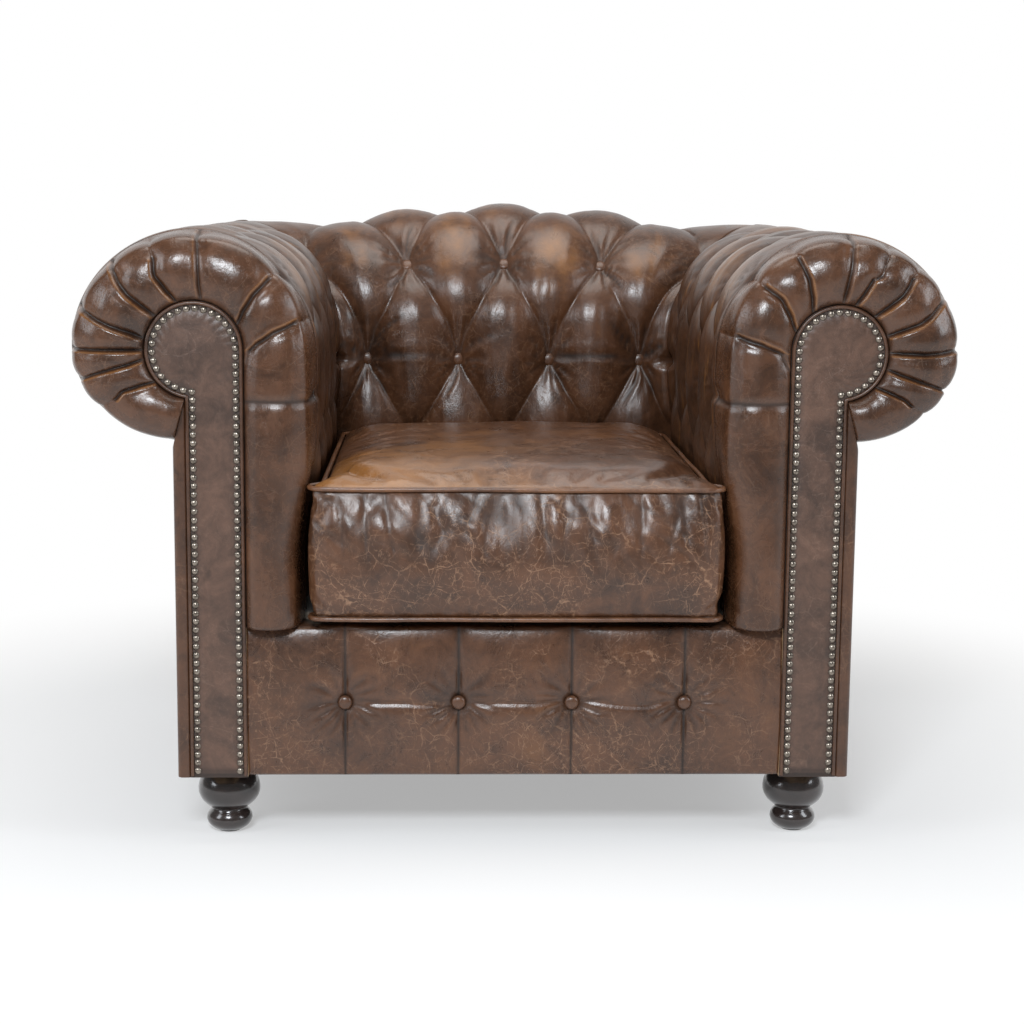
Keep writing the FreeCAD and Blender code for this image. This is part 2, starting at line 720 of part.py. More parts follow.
# Front rail cover: lobes between the pleats that run through the buttons
def front_cover_shape():
    pitch = size("front_button_pitch")
    half = value(POST_INNER)
    lines = [-half] + [pitch * (number - 1.5) for number in range(4)] + [half]
    heights = []
    low, middle, top = size("body_bottom"), size("front_button_height"), size("front_top")
    for step in range(4):
        heights.append(low + (middle - low) * step / 4)
    for step in range(5):
        heights.append(middle + (top - middle) * step / 4)
    spans = []
    for index in range(5):
        for step in range(4):
            spans.append((index, step / 4))
    spans.append((4, 1.0))
    face = -value(FRONT_FACE)
    grid = []
    for height in heights:
        line = []
        for index, share in spans:
            across = lines[index] + (lines[index + 1] - lines[index]) * share
            ends = (0.6 if index == 0 else 0.0, 0.6 if index == 4 else 0.0)
            lobe = math.sin(math.pi * share) ** 0.5
            lobe = max(lobe, ends[0] * (1 - share), ends[1] * share)
            upright = math.sin(math.pi * (height - low) / (top - low)) ** 0.4 if low < height < top else 0
            near = math.exp(-((height - middle) / 22) ** 2)
            pinch = 1 - 0.55 * near if 0 < share < 1 else 1 - near
            rise = size("front_bulge") * (0.35 + 0.65 * lobe) * upright * pinch
            line.append(V(across, face - rise, height))
        grid.append(line)
    behind = value(PAD_FRONT)
    faces = lattice(grid)
    rear = [V(-half, behind, low), V(half, behind, low), V(half, behind, top), V(-half, behind, top)]
    faces.append(polygon(rear))
    faces.append(polygon(grid[0] + [rear[1], rear[0]]))
    faces.append(polygon(grid[-1] + [rear[2], rear[3]]))
    faces.append(polygon([line[0] for line in grid] + [rear[3], rear[0]]))
    faces.append(polygon([line[-1] for line in grid] + [rear[2], rear[1]]))
    flap = Part.makeBox(2 * half, seam_y - behind, size("leather"), V(-half, behind, top - size("leather")))
    return closed_solid(faces).fuse(flap).removeSplitter()


def dome(centre, normal, across, thick, flat):
    """A low nail head or button with six sides, standing on centre along normal; flat is the
    share of its width that the top keeps."""
    helper = V(0, 0, 1) if abs(normal.z) < 0.8 else V(1, 0, 0)
    one = normal.cross(helper).normalize()
    two = normal.cross(one)
    spokes = []
    for number in range(6):
        turn = math.pi * number / 3
        spokes.append((one * math.cos(turn) + two * math.sin(turn)) * (across / 2))
    low = [centre + spoke for spoke in spokes]
    high = [centre + spoke * flat + normal * thick for spoke in spokes]
    faces = [polygon(low), polygon(high)]
    for number in range(6):
        after = (number + 1) % 6
        faces.append(polygon([low[number], low[after], high[after], high[number]]))
    return closed_solid(faces)


def nail_places():
    """Evenly spaced places along the facing's edge, up one side, round the head and down."""
    inset = size("nail_inset")
    inner = roll_x - size("bulb_radius") + inset
    outer = roll_x + size("stem_step") - inset
    head = size("bulb_radius") - inset
    low = size("body_bottom") + inset
    turn = math.pi + math.acos((outer - roll_x) / head)
    end_z = roll_z + head * math.sin(turn)
    lengths = (roll_z - low, turn * head, end_z - low)
    count = int(round(sum(lengths) / size("nail_pitch")))
    places = []
    for number in range(count + 1):
        run = sum(lengths) * number / count
        if run <= lengths[0]:
            places.append((inner, low + run))
            continue
        run -= lengths[0]
        if run <= lengths[1]:
            angle = run / head
            places.append((roll_x - head * math.cos(angle), roll_z + head * math.sin(angle)))
            continue
        run -= lengths[1]
        places.append((outer, end_z - run))
    return places


def nails_shape():
    heads = []
    for across, height in nail_places():
        centre = V(across, facing_y, height)
        heads.append(dome(centre, V(0, -1, 0), size("nail_across"), size("nail_proud"), 0))
    return Part.makeCompound(heads)


def button_spots(columns, skip):
    """Columns and rows that hold a button, in the button rows one to four."""
    spots = []
    for row in (1, 2, 3, 4):
        for column in columns:
            if (column + row) % 2 == 1 and (column, row) not in skip:
                spots.append((column, row))
    return spots


def profile_normal(station, depth):
    one = profile(station - 0.02, depth)
    two = profile(station + 0.02, depth)
    run = V(two[0] - one[0], 0, two[1] - one[1]).normalize()
    return V(-run.z, 0, run.x)


def arm_buttons_shape():
    heads = []
    for column, row in button_spots(range(1, ARM_COLUMNS), ()):
        station = ROWS[row]
        offset, height = profile(station, tuft)
        normal = profile_normal(station, tuft)
        centre = arm_point(offset, height, arm_along(column, station, offset))
        heads.append(dome(centre, normal, size("button_across"), size("button_thick"), 0.6))
    return Part.makeCompound(heads)


def back_buttons_shape():
    heads = []
    for column, row in button_spots(range(1 - BACK_COLUMNS, BACK_COLUMNS), ()):
        station = ROWS[row]
        offset, height = profile(station, tuft)
        normal = profile_normal(station, tuft)
        across = back_across(column, station, offset)
        centre = V(across, crest_y + offset, height + back_lift(across, station, offset))
        heads.append(dome(centre, V(0, normal.x, normal.z), size("button_across"), size("button_thick"), 0.6))
    return Part.makeCompound(heads)


def front_buttons_shape():
    heads = []
    for number in range(4):
        across = size("front_button_pitch") * (number - 1.5)
        centre = V(across, -value(FRONT_FACE), size("front_button_height"))
        heads.append(dome(centre, V(0, -1, 0), size("front_button_across"), size("button_thick"), 0.6))
    return Part.makeCompound(heads)


# Cushion: an outline with round corners at each height, drawn in between the pipings
def cushion_outline(inset, draw):
    """Corner-rounded outline, wide at the front edge and narrower between the arms."""
    front = 2 * size("piping_radius") - size("front_reach") + inset
    rear = crest_y - size("cushion_gap") - inset
    wide = size("cushion_width") / 2 - inset
    narrow = size("cushion_rear_width") / 2 - inset
    radius = max(size("cushion_corner") - inset, 2)
    neck = front + size("cushion_neck")
    half = [V(0, front, 0), V(wide * 0.5, front, 0)]
    for step in range(4):
        turn = math.pi / 2 * step / 3
        half.append(V(wide - radius + radius * math.sin(turn), front + radius - radius * math.cos(turn), 0))
    half.append(V(narrow, neck, 0))
    half.append(V(narrow - draw, (neck + rear) / 2, 0))
    for step in range(4):
        turn = math.pi / 2 * step / 3
        half.append(V(narrow - radius + radius * math.cos(turn), rear - radius + radius * math.sin(turn), 0))
    half.append(V(narrow * 0.5, rear, 0))
    half.append(V(0, rear, 0))
    mirrored = [V(-point.x, point.y, 0) for point in half[1:-1]][::-1]
    return half + mirrored


def cushion_shape(inset):
    low = deck_z + size("cushion_lift") + inset
    high = deck_z + size("cushion_lift") + size("cushion_height") - inset
    rings = []
    cord = 2 * size("piping_radius") / size("cushion_height")
    for share, pull in ((0, 0.0), (cord, 0.0), (0.25, 0.7), (0.5, 1.0), (0.75, 0.7), (1, 0.0)):
        height = low + (high - low) * share
        ring = []
        for point in cushion_outline(inset, size("cushion_drawn") * pull):
            swell = 0.0 if point.y > 0 else -size("cushion_drawn") * pull
            if abs(point.x) >= size("cushion_width") * 0.4:
                swell = 0.0
            ring.append(V(point.x, point.y + swell, height))
        rings.append(ring)
    crown = size("cushion_crown")
    middle_y = (crest_y - size("cushion_gap") - size("front_reach")) / 2
    for shrink, lift in ((0.93, 0.35), (0.8, 0.65), (0.55, 0.9), (0.25, 1.0)):
        ring = []
        for point in cushion_outline(inset, 0.0):
            ring.append(V(point.x * shrink, middle_y + (point.y - middle_y) * shrink, high + crown * lift))
        rings.append(ring)
    faces = []
    for below, above in zip(rings, rings[1:]):
        faces += lattice([below + [below[0]], above + [above[0]]])
    faces.append(polygon(rings[0]))
    faces.append(polygon(rings[-1]))
    return closed_solid(faces)


def piping_shape(height):
    """A six-sided tube that follows the cushion's seam."""
    path = cushion_outline(0.0, 0.0)
    radius = size("piping_radius")
    count = len(path)
    tube = []
    for index, point in enumerate(path):
        along = (path[(index + 1) % count] - path[index - 1]).normalize()
        outward = V(along.y, -along.x, 0)
        ring = []
        for number in range(6):
            turn = math.pi * number / 3
            spoke = outward * math.cos(turn) + V(0, 0, 1) * math.sin(turn)
            ring.append(V(point.x, point.y, height) + outward * radius + spoke * radius)
        tube.append(ring)
    faces = []
    for index in range(count):
        one, two = tube[index], tube[(index + 1) % count]
        faces += lattice([one + [one[0]], two + [two[0]]])
    return closed_solid(faces)


# Frame of hardwood
front_post = facing_body("front_post", "0", "facing_plane - facing_thick", "border_depth - facing_thick")
pair(front_post, "left_front_post", "right_front_post")
slab(
    "front_seat_rail",
    ("0 - " + POST_INNER, RAIL_FRONT, RAIL_BOTTOM),
    ("2 * " + POST_INNER, "rail", "rail_top - " + RAIL_BOTTOM),
)
slab(
    "rear_seat_rail",
    ("0 - " + PANEL_X + " + post", PANEL_Y + " - rail", RAIL_BOTTOM),
    ("2 * ( " + PANEL_X + " - post )", "rail", "rail_top - " + RAIL_BOTTOM),
)
side_rail = slab(
    "side_rail",
    (PANEL_X + " - rail", SEAM_Y, RAIL_BOTTOM),
    ("rail", PANEL_Y + " - post - " + SEAM_Y, "rail_top - " + RAIL_BOTTOM),
)
both(side_rail, "side_seat_rails")


def rear_corner(reach, first, last):
    """Corner points from one eighth of a quarter turn to another, counted from the side."""
    points = []
    for step in range(first, last + 1):
        turn = SEAM_TURN * step / FAN_STEPS
        points.append((
            ROLL_X + " + %s * %.9f" % (reach, math.cos(turn)),
            ROLL_Y + " + %s * %.9f" % (reach, math.sin(turn)),
        ))
    return points


OUTER_REACH = "outside_offset"
INNER_REACH = "( outside_offset - leather )"


def rear_post_body():
    """An upright whose outer edge is rounded to the corner of the outside panels."""
    body = doc.addObject("PartDesign::Body", "rear_post")
    left = PANEL_X + " - post"
    near = PANEL_Y + " - post"
    corners = [(left, near), (PANEL_X, near)] + rear_corner(INNER_REACH, 0, 2 * FAN_STEPS)
    corners.append((left, PANEL_Y))
    sketch = outline(body, "XY_Plane", corners, [None] * len(corners))
    padded(body, sketch, "roll_height - " + RAIL_BOTTOM)
    body.setExpression("Placement.Base.z", cell(RAIL_BOTTOM))
    return body


pair(rear_post_body(), "left_rear_post", "right_rear_post")
arm_tack = slab(
    "arm_tack_rail",
    (FRAME_X, SEAM_Y, "deck_height + leather"),
    ("rail", FRAME_Y + " - " + SEAM_Y, "tack_rail_height"),
)
both(arm_tack, "arm_tack_rails")
slab(
    "back_tack_rail",
    ("0 - " + PANEL_X + " + post", FRAME_Y, "deck_height + leather"),
    ("2 * ( " + PANEL_X + " - post )", "rail", "tack_rail_height"),
)
arm_top = slab(
    "arm_top_rail",
    (ROLL_X + " - 2 * rail", SEAM_Y, "roll_height - top_rail_height - rail / 2"),
    ("2 * rail", ROLL_Y + " - 2 * rail - " + SEAM_Y, "top_rail_height"),
)
both(arm_top, "arm_top_rails")
slab(
    "back_top_rail",
    ("0 - " + PANEL_X + " + post", ROLL_Y + " - 2 * rail", "roll_height - top_rail_height - rail / 2"),
    ("2 * ( " + PANEL_X + " - post )", "2 * rail", "top_rail_height"),
)
UPRIGHT_RUN = "roll_height - top_rail_height - rail / 2 - rail_top"
uprights = []
for number, start in enumerate(("0 - 7 * rail", "6 * rail"), start=1):
    uprights.append(slab(
        "back_upright_%d" % number,
        (start, FRAME_Y + " + rail", "rail_top"),
        ("rail", PANEL_Y + " - " + FRAME_Y + " - rail", UPRIGHT_RUN),
    ))
group("back_uprights", uprights)
arm_upright = slab(
    "arm_upright",
    (
        FRAME_X + " + rail",
        SEAM_Y + " + ( " + PANEL_Y + " - post - " + SEAM_Y + " ) * 2 / 5 - rail / 2",
        "rail_top",
    ),
    (PANEL_X + " - " + FRAME_X + " - rail", "rail", UPRIGHT_RUN),
)
both(arm_upright, "arm_uprights")


def corner_block_body(name, along):
    """A glued block with its inner corner cut off; along is + to the rear or - to the front."""
    body = doc.addObject("PartDesign::Body", name)
    corners = [
        ("0 - block", "0"),
        ("0", "0"),
        ("0", "0 %s block" % along),
        ("0 - block / 2", "0 %s block" % along),
        ("0 - block", "0 %s block / 2" % along),
    ]
    sketch = outline(body, "XY_Plane", corners, [None] * 5)
    padded(body, sketch, "block_height")
    return body


FRONT_FOOT_Y = "( foot_front - facing_plane )"
REAR_FOOT_Y = "( " + OUTSIDE_Y + " - foot_rear )"
BLOCK_X = "( " + PANEL_X + " - rail )"
REAR_BLOCK_Y = "( " + PANEL_Y + " - post )"


def mirrored_left(source):
    twin = doc.addObject("Part::Mirroring", source.Name + "_left")
    twin.Source = source
    twin.Normal = V(1, 0, 0)
    return twin


def rod(name, radius, across, along, low, height):
    """An upright rod or disc with twelve sides."""
    piece = doc.addObject("Part::Prism", name)
    piece.Polygon = 12
    piece.setExpression("Circumradius", cell(radius))
    piece.setExpression("Height", cell(height))
    place(piece, (across, along, low))
    return piece


def bored(name, piece, across, along, low, height):
    """The piece with a clearance hole for a hanger bolt."""
    cut = doc.addObject("Part::Cut", name)
    cut.Base = piece
    cut.Tool = rod(name + "_hole", "bolt_radius + bolt_clearance", across, along, low, height)
    return cut


blocks = []
for name, along, where, bolt_y in (
    ("front_block", "+", SEAM_Y, FRONT_FOOT_Y),
    ("rear_block", "-", REAR_BLOCK_Y, REAR_FOOT_Y),
):
    block = corner_block_body(name + "_body", along)
    place(block, (BLOCK_X, where, RAIL_BOTTOM))
    block = bored(name, block, "foot_side", bolt_y, RAIL_BOTTOM, "block_height")
    blocks += [block, mirrored_left(block)]
group("corner_blocks", blocks)


# Turned feet with their bolts, nuts and glides
FOOT_SIDES = 18


def foot_shape():
    """A turned bun foot over a small ball, as rings of its radius at heights above the glide."""
    bun = size("foot_bun_radius")
    ball = size("foot_ball_radius")
    lift = size("glide")
    neck_z = size("foot_neck_height") - lift
    bun_z = size("foot_bun_height") - lift
    top_z = size("body_bottom") - lift
    turning = (
        (size("foot_toe_radius"), 0),
        (ball - 3, (size("foot_ball_height") - lift) / 3),
        (ball, size("foot_ball_height") - lift),
        (ball - 3, neck_z - 4),
        (size("foot_neck_radius"), neck_z),
        (bun - 6, (neck_z + bun_z) / 2 - 4),
        (bun, bun_z),
        (bun - 3, (bun_z + top_z) / 2),
        (size("foot_top_radius"), top_z),
    )
    rings = []
    for radius, height in turning:
        ring = []
        for number in range(FOOT_SIDES):
            turn = 2 * math.pi * number / FOOT_SIDES
            ring.append(V(radius * math.cos(turn), radius * math.sin(turn), height))
        rings.append(ring + [ring[0]])
    faces = strips(rings) + [polygon(rings[0][:-1]), polygon(rings[-1][:-1])]
    return closed_solid(faces)


feet = {"front": FRONT_FOOT_Y, "rear": REAR_FOOT_Y}
turned_feet, bolts, nuts, glides = [], [], [], []
for where, along in feet.items():
    foot = solid_feature(where + "_foot_turning", foot_shape())
    place(foot, ("foot_side", along, "glide"))
    depth = "bolt_depth + tee_nut"
    foot = bored(where + "_foot", foot, "foot_side", along, "body_bottom - ( %s )" % depth, depth)
    turned_feet += [foot, mirrored_left(foot)]
    length = "bolt_depth + lining + block_height + 2 * tee_nut"
    bolt = rod(where + "_bolt", "bolt_radius", "foot_side", along, "body_bottom - bolt_depth", length)
    nut_low = RAIL_BOTTOM + " + block_height"
    flange = rod(where + "_flange", "tee_nut_radius", "foot_side", along, nut_low, "tee_nut")
    nut = bored(where + "_nut", flange, "foot_side", along, nut_low, "tee_nut")
    glide = doc.addObject("Part::Cylinder", where + "_glide")
    glide.setExpression("Radius", cell("glide_radius"))
    glide.setExpression("Height", cell("glide"))
    place(glide, ("foot_side", along, "0"))
    bolts += [bolt, mirrored_left(bolt)]
    nuts += [nut, mirrored_left(nut)]
    glides += [glide, mirrored_left(glide)]
group("turned_feet", turned_feet)
group("foot_bolts_and_nuts", bolts + nuts)
group("foot_glides", glides)

# Seat: straps both ways, hessian, felt and deck cloth
STRAPS = 5
straps = []
for number in range(STRAPS):
    step = "%d / %d" % (number - STRAPS // 2, STRAPS)
    straps.append(slab(
        "long_strap_%d" % number,
        ("2 * " + FRAME_X + " * " + step + " - webbing_width / 2", RAIL_FRONT, "rail_top"),
        ("webbing_width", PANEL_Y + " - " + RAIL_FRONT, "webbing"),
    ))
cross_straps = []
for number in range(STRAPS):
    share = "( %d / %d )" % (2 * number + 1, 2 * STRAPS)
    run = "( " + PANEL_Y + " - post - " + SEAM_Y + " )"
    start = SEAM_Y + " + " + run + " * " + share + " - webbing_width / 2"
    cross_straps.append(slab(
        "cross_strap_%d" % number,
        ("0 - " + PANEL_X, start, "rail_top + webbing"),
        ("2 * " + PANEL_X, "webbing_width", "webbing"),
    ))
group("seat_webbing", straps + cross_straps)
slab(
    "seat_hessian",
    ("0 - " + FRAME_X, RAIL_FRONT + " + 2 * rail", "rail_top + 2 * webbing"),
    ("2 * " + FRAME_X, FRAME_Y + " - " + RAIL_FRONT + " - 2 * rail", "hessian"),
)
FELT_LOW = "( rail_top + 2 * webbing + hessian )"
slab(
    "deck_felt",
    ("0 - " + FRAME_X, RAIL_FRONT + " + rail", FELT_LOW),
    (
        "2 * " + FRAME_X,
        FRAME_Y + " - " + RAIL_FRONT + " - rail",
        "deck_height - deck_cloth - " + FELT_LOW,
    ),
)
slab(
    "deck_cloth",
    ("0 - " + FRAME_X, RAIL_FRONT + " + rail", "deck_height - deck_cloth"),
    ("2 * " + FRAME_X, FRAME_Y + " - " + RAIL_FRONT + " - rail", "deck_cloth"),
)

# Webbing and hessian inside the arms and the back
SHEET_LOW = "( deck_height + leather )"
SHEET_RUN = "( roll_height - deck_height - leather )"
LAYER_X = "( inside_width / 2 + tuft_depth + skin + pad )"
LAYER_Y = "( rear_reach - roll_outer - roll_inner + tuft_depth + skin + pad )"
arm_sheet = slab(
    "arm_hessian",
    (LAYER_X, SEAM_Y, SHEET_LOW),
    ("hessian", LAYER_Y + " - " + SEAM_Y, SHEET_RUN),
)
both(arm_sheet, "arm_hessians")
slab("back_hessian", ("0 - " + LAYER_X, LAYER_Y, SHEET_LOW), ("2 * " + LAYER_X, "hessian", SHEET_RUN))
straps = []
for number in range(3):
    run = "( " + LAYER_Y + " - " + SEAM_Y + " )"
    straps.append(slab(
        "arm_strap_%d" % number,
        (
            LAYER_X + " + hessian",
            SEAM_Y + " + " + run + " * %d / 6 - webbing_width / 2" % (2 * number + 1),
            SHEET_LOW,
        ),
        ("webbing", "webbing_width", SHEET_RUN + " - top_rail_height"),
    ))
arm_straps = doc.addObject("Part::Compound", "arm_straps")
arm_straps.Links = straps
both(arm_straps, "arm_webbing")
straps = []
for number in range(4):
    straps.append(slab(
        "back_strap_%d" % number,
        (
            "2 * " + LAYER_X + " * %d / 8 - webbing_width / 2" % (2 * number - 3),
            LAYER_Y + " + hessian",
            SHEET_LOW,
        ),
        ("webbing_width", "webbing", SHEET_RUN + " - top_rail_height"),
    ))
group("back_webbing", straps)

# Bent ply rolls, first stuffing and the tufted covers
ROLL_STATIONS = PLAIN_STATIONS[1:]
lined = tuft + size("skin")
stuffed = lined + size("pad")
for stem, layer, cover in (
    ("arm", arm_layer_shape, arm_cover_shape),
    ("back", back_layer_shape, back_cover_shape),
):
    pieces = (
        (stem + "_roll_former", layer(stuffed, stuffed + size("former"), ROLL_STATIONS)),
        (stem + "_stuffing", layer(lined, stuffed)),
        (stem + "_inside_cover", cover()),
    )
    for name, shape in pieces:
        piece = solid_feature(name, shape)
        if stem == "arm":
            pair(piece, "left_" + name, "right_" + name)


def rib_plate():
    """Outline of a roll's ribs, as pairs of offset and height, closed under the former."""
    return [profile(station, stuffed + size("former")) for station in ROLL_STATIONS]


def rib_shape(points, run, notch):
    return Part.Face(Part.makePolygon(points + [points[0]])).extrude(run).cut(notch)


def ribs_shape():
    """Ply ribs that carry the bent ply rolls, notched over the top rails and the uprights."""
    thick = size("former") * 1.5
    ribs = []
    arm_notch = doc.getObject("arm_top_rail").Shape.fuse(doc.getObject("arm_upright").Shape)
    for share in (0.0, 0.5):
        along = seam_y + share * (crest_y - seam_y)
        for side in (1, -1):
            points = [V(side * (half_inside + offset), along, height) for offset, height in rib_plate()]
            notch = arm_notch if side > 0 else arm_notch.mirror(V(0, 0, 0), V(1, 0, 0))
            ribs.append(rib_shape(points, V(0, thick, 0), notch))
    uprights = [doc.getObject("back_upright_%d" % number).Shape for number in (1, 2)]
    back_notch = doc.getObject("back_top_rail").Shape.fuse(uprights)
    for across in (-half_inside * 0.7, half_inside * 0.7):
        points = [V(across, crest_y + offset, height) for offset, height in rib_plate()]
        ribs.append(rib_shape(points, V(thick, 0, 0), back_notch))
    return Part.makeCompound([max(rib.Solids, key=lambda solid: solid.Volume) for rib in ribs])


doc.recompute()
solid_feature("roll_ribs", ribs_shape())
pair(solid_feature("front_border", border_shape()), "left_front_border", "right_front_border")
both(solid_feature("arm_button_set", arm_buttons_shape()), "arm_buttons")
solid_feature("back_buttons", back_buttons_shape())

# Facing panels with their welts and nails
facing = facing_body("facing_panel", "0", "facing_plane", "facing_thick")
pair(facing, "left_facing_panel", "right_facing_panel")
welt_outer = facing_body("welt_outer", "0", "facing_plane + welt_proud", "welt_proud")
welt_inner = facing_body("welt_inner", "welt_width", "facing_plane + 2 * welt_proud", "4 * welt_proud")
welt = doc.addObject("Part::Cut", "facing_welt")
welt.Base = welt_outer
welt.Tool = welt_inner
both(welt, "facing_welts")
both(solid_feature("facing_nail_line", nails_shape()), "facing_nails")

# Front rail
solid_feature("front_rail_cover", front_cover_shape())
solid_feature("front_rail_buttons", front_buttons_shape())


def front_stuffing_body():
    """Stuffing in front of the front rail and over its top."""
    body = doc.addObject("PartDesign::Body", "front_rail_stuffing")
    corners = [
        (PAD_FRONT, "body_bottom"),
        (RAIL_FRONT, "body_bottom"),
        (RAIL_FRONT, "rail_top + 2 * webbing"),
        (RAIL_FRONT + " + rail", "rail_top + 2 * webbing"),
        (RAIL_FRONT + " + rail", "front_top - leather"),
        (PAD_FRONT, "front_top - leather"),
    ]
    padded(body, outline(body, "YZ_Plane", corners, [None] * 6), "2 * " + POST_INNER)
    body.setExpression("Placement.Base.x", cell("0 - " + POST_INNER))
    return body


label(front_stuffing_body(), "front_rail_stuffing")


# Outside panels
def outside_arm_body():
    """Flat leather from the border's seam to the middle of the rounded rear corner."""
    body = doc.addObject("PartDesign::Body", "outside_panel")
    corners = [(PANEL_X, SEAM_Y), (OUTSIDE_X, SEAM_Y)]
    corners += rear_corner(OUTER_REACH, 0, FAN_STEPS)
    corners += rear_corner(INNER_REACH, 0, FAN_STEPS)[::-1]
    sketch = outline(body, "XY_Plane", corners, [None] * len(corners))
    padded(body, sketch, "roll_height - roll_under + " + LAYERS + " - body_bottom")
    body.setExpression("Placement.Base.z", cell("body_bottom"))
    return body


def outside_edge_body():
    """The stuffed front edge of the outside cover, beside the facing and under the border."""
    body = doc.addObject("PartDesign::Body", "outside_edge")
    corners = [
        (POST_OUTER, "body_bottom"),
        (OUTSIDE_X, "body_bottom"),
        (OUTSIDE_X, "roll_height - roll_under - 1"),
        (POST_OUTER, "roll_height - 1 - sqrt ( bulb_radius * bulb_radius - stem_step * stem_step )"),
    ]
    sketch = outline(body, "XZ_Plane", corners, [None] * 4)
    padded(body, sketch, "border_depth").Reversed = True
    body.setExpression("Placement.Base.y", cell("0 - facing_plane"))
    return body


outside = doc.addObject("Part::Fuse", "outside_cover")
outside.Base = outside_arm_body()
outside.Tool = outside_edge_body()
pair(outside, "left_outside_cover", "right_outside_cover")


def across_the_middle(points):
    """The same points on the left, in the order that goes on round."""
    return [("0 - ( %s )" % across, along) for across, along in points][::-1]


def outside_back_body():
    body = doc.addObject("PartDesign::Body", "outside_back_cover")
    far = rear_corner(OUTER_REACH, FAN_STEPS, 2 * FAN_STEPS)
    near = rear_corner(INNER_REACH, FAN_STEPS, 2 * FAN_STEPS)
    corners = far + across_the_middle(far) + (near + across_the_middle(near))[::-1]
    sketch = outline(body, "XY_Plane", corners, [None] * len(corners))
    padded(body, sketch, "roll_height - roll_under + " + LAYERS + " - body_bottom")
    body.setExpression("Placement.Base.z", cell("body_bottom"))
    return body


label(outside_back_body(), "outside_back_cover")

# Dust cover with holes for the bolts
def dust_sheet_body():
    body = doc.addObject("PartDesign::Body", "dust_sheet")
    right = [(POST_INNER, RAIL_FRONT), (POST_INNER, SEAM_Y), (PANEL_X, SEAM_Y)]
    right += rear_corner(INNER_REACH, 0, 2 * FAN_STEPS)
    corners = right + across_the_middle(right)
    sketch = outline(body, "XY_Plane", corners, [None] * len(corners))
    padded(body, sketch, "lining")
    body.setExpression("Placement.Base.z", cell("body_bottom"))
    return body


dust = dust_sheet_body()
for where, along in feet.items():
    for side, across in (("right", "foot_side"), ("left", "0 - foot_side")):
        dust = bored("_".join((where, side, "dust")), dust, across, along, "body_bottom", "lining")
label(dust, "dust_cover")

# Seat cushion
core = cushion_shape(size("cushion_skin"))
solid_feature("cushion_foam", core)
solid_feature("cushion_cover", cushion_shape(0.0).cut(core))
cushion_z = deck_z + size("cushion_lift")
solid_feature("cushion_lower_piping", piping_shape(cushion_z + size("piping_radius")))
solid_feature("cushion_upper_piping", piping_shape(cushion_z + size("cushion_height")))
ZIP_Z = "( deck_height + cushion_lift + cushion_height / 2 )"
slab(
    "zip_tape",
    ("0 - zip_length / 2", CUSHION_REAR, ZIP_Z + " - zip_width / 2"),
    ("zip_length", "zip_tape", "zip_width"),
)
slab(
    "zip_chain",
    ("0 - zip_length / 2 + chain_width", CUSHION_REAR + " + zip_tape", ZIP_Z + " - chain_width / 2"),
    ("zip_length - 2 * chain_width", "chain", "chain_width"),
)
slider_block = slab(
    "slider_block",
    (
        "slider_length - zip_length / 2",
        CUSHION_REAR + " + zip_tape + slider_clearance",
        ZIP_Z + " - slider_width / 2",
    ),
    ("slider_length", "chain + slider_wall", "slider_width"),
)
slider_groove = slab(
    "slider_groove",
    (
        "slider_length - zip_length / 2 - chain",
        CUSHION_REAR + " + zip_tape",
        ZIP_Z + " - chain_width / 2 - slider_clearance",
    ),
    ("slider_length + 2 * chain", "chain + slider_clearance", "chain_width + 2 * slider_clearance"),
)
slider = doc.addObject("Part::Cut", "zip_slider")
slider.Base = slider_block
slider.Tool = slider_groove
label(slider, "zip_slider")

doc.recompute()

LEFT_RIGHT = (
    "front_post", "rear_post", "arm_roll_former", "arm_stuffing",
    "arm_inside_cover", "front_border", "facing_panel", "outside_cover",
)
SINGLE = (
    "side_seat_rails", "arm_tack_rails", "arm_top_rails", "arm_hessians", "arm_webbing", "arm_buttons",
    "facing_welts", "facing_nails", "front_seat_rail", "rear_seat_rail", "back_tack_rail",
    "back_top_rail", "back_uprights", "corner_blocks",
    "turned_feet", "foot_bolts_and_nuts", "foot_glides", "seat_webbing", "roll_ribs", "arm_uprights",
    "seat_hessian", "deck_felt", "deck_cloth", "back_hessian", "back_webbing", "back_roll_former",
    "back_stuffing", "back_inside_cover", "back_buttons", "front_rail_cover", "front_rail_buttons",
    "front_rail_stuffing", "outside_back_cover", "dust_cover", "cushion_foam", "cushion_cover",
    "cushion_lower_piping", "cushion_upper_piping", "zip_tape", "zip_chain", "zip_slider",
)
NODES = [side + name for name in LEFT_RIGHT for side in ("left_", "right_")] + list(SINGLE)

for obj in doc.Objects:
    if "Invalid" in obj.State or "Error" in obj.State:
        raise RuntimeError("failed: %s %s" % (obj.Label, obj.State))
by_label = {}
for obj in doc.Objects:
    by_label.setdefault(obj.Label, obj)
for name in NODES:
    shape = by_label[name].Shape
    if shape.isNull() or not shape.isValid() or shape.Volume <= 0:
        raise RuntimeError("bad shape: %s" % name)
for name in NODES:
    by_label[name].Shape.exportStep("parts/%s.step" % name)
print("%d nodes" % len(NODES))
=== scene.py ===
import json
import math
from functools import partial

import bmesh
import bpy
import numpy as np
from bpy.props import FloatProperty, FloatVectorProperty, PointerProperty
from mathutils import Matrix, Vector, noise


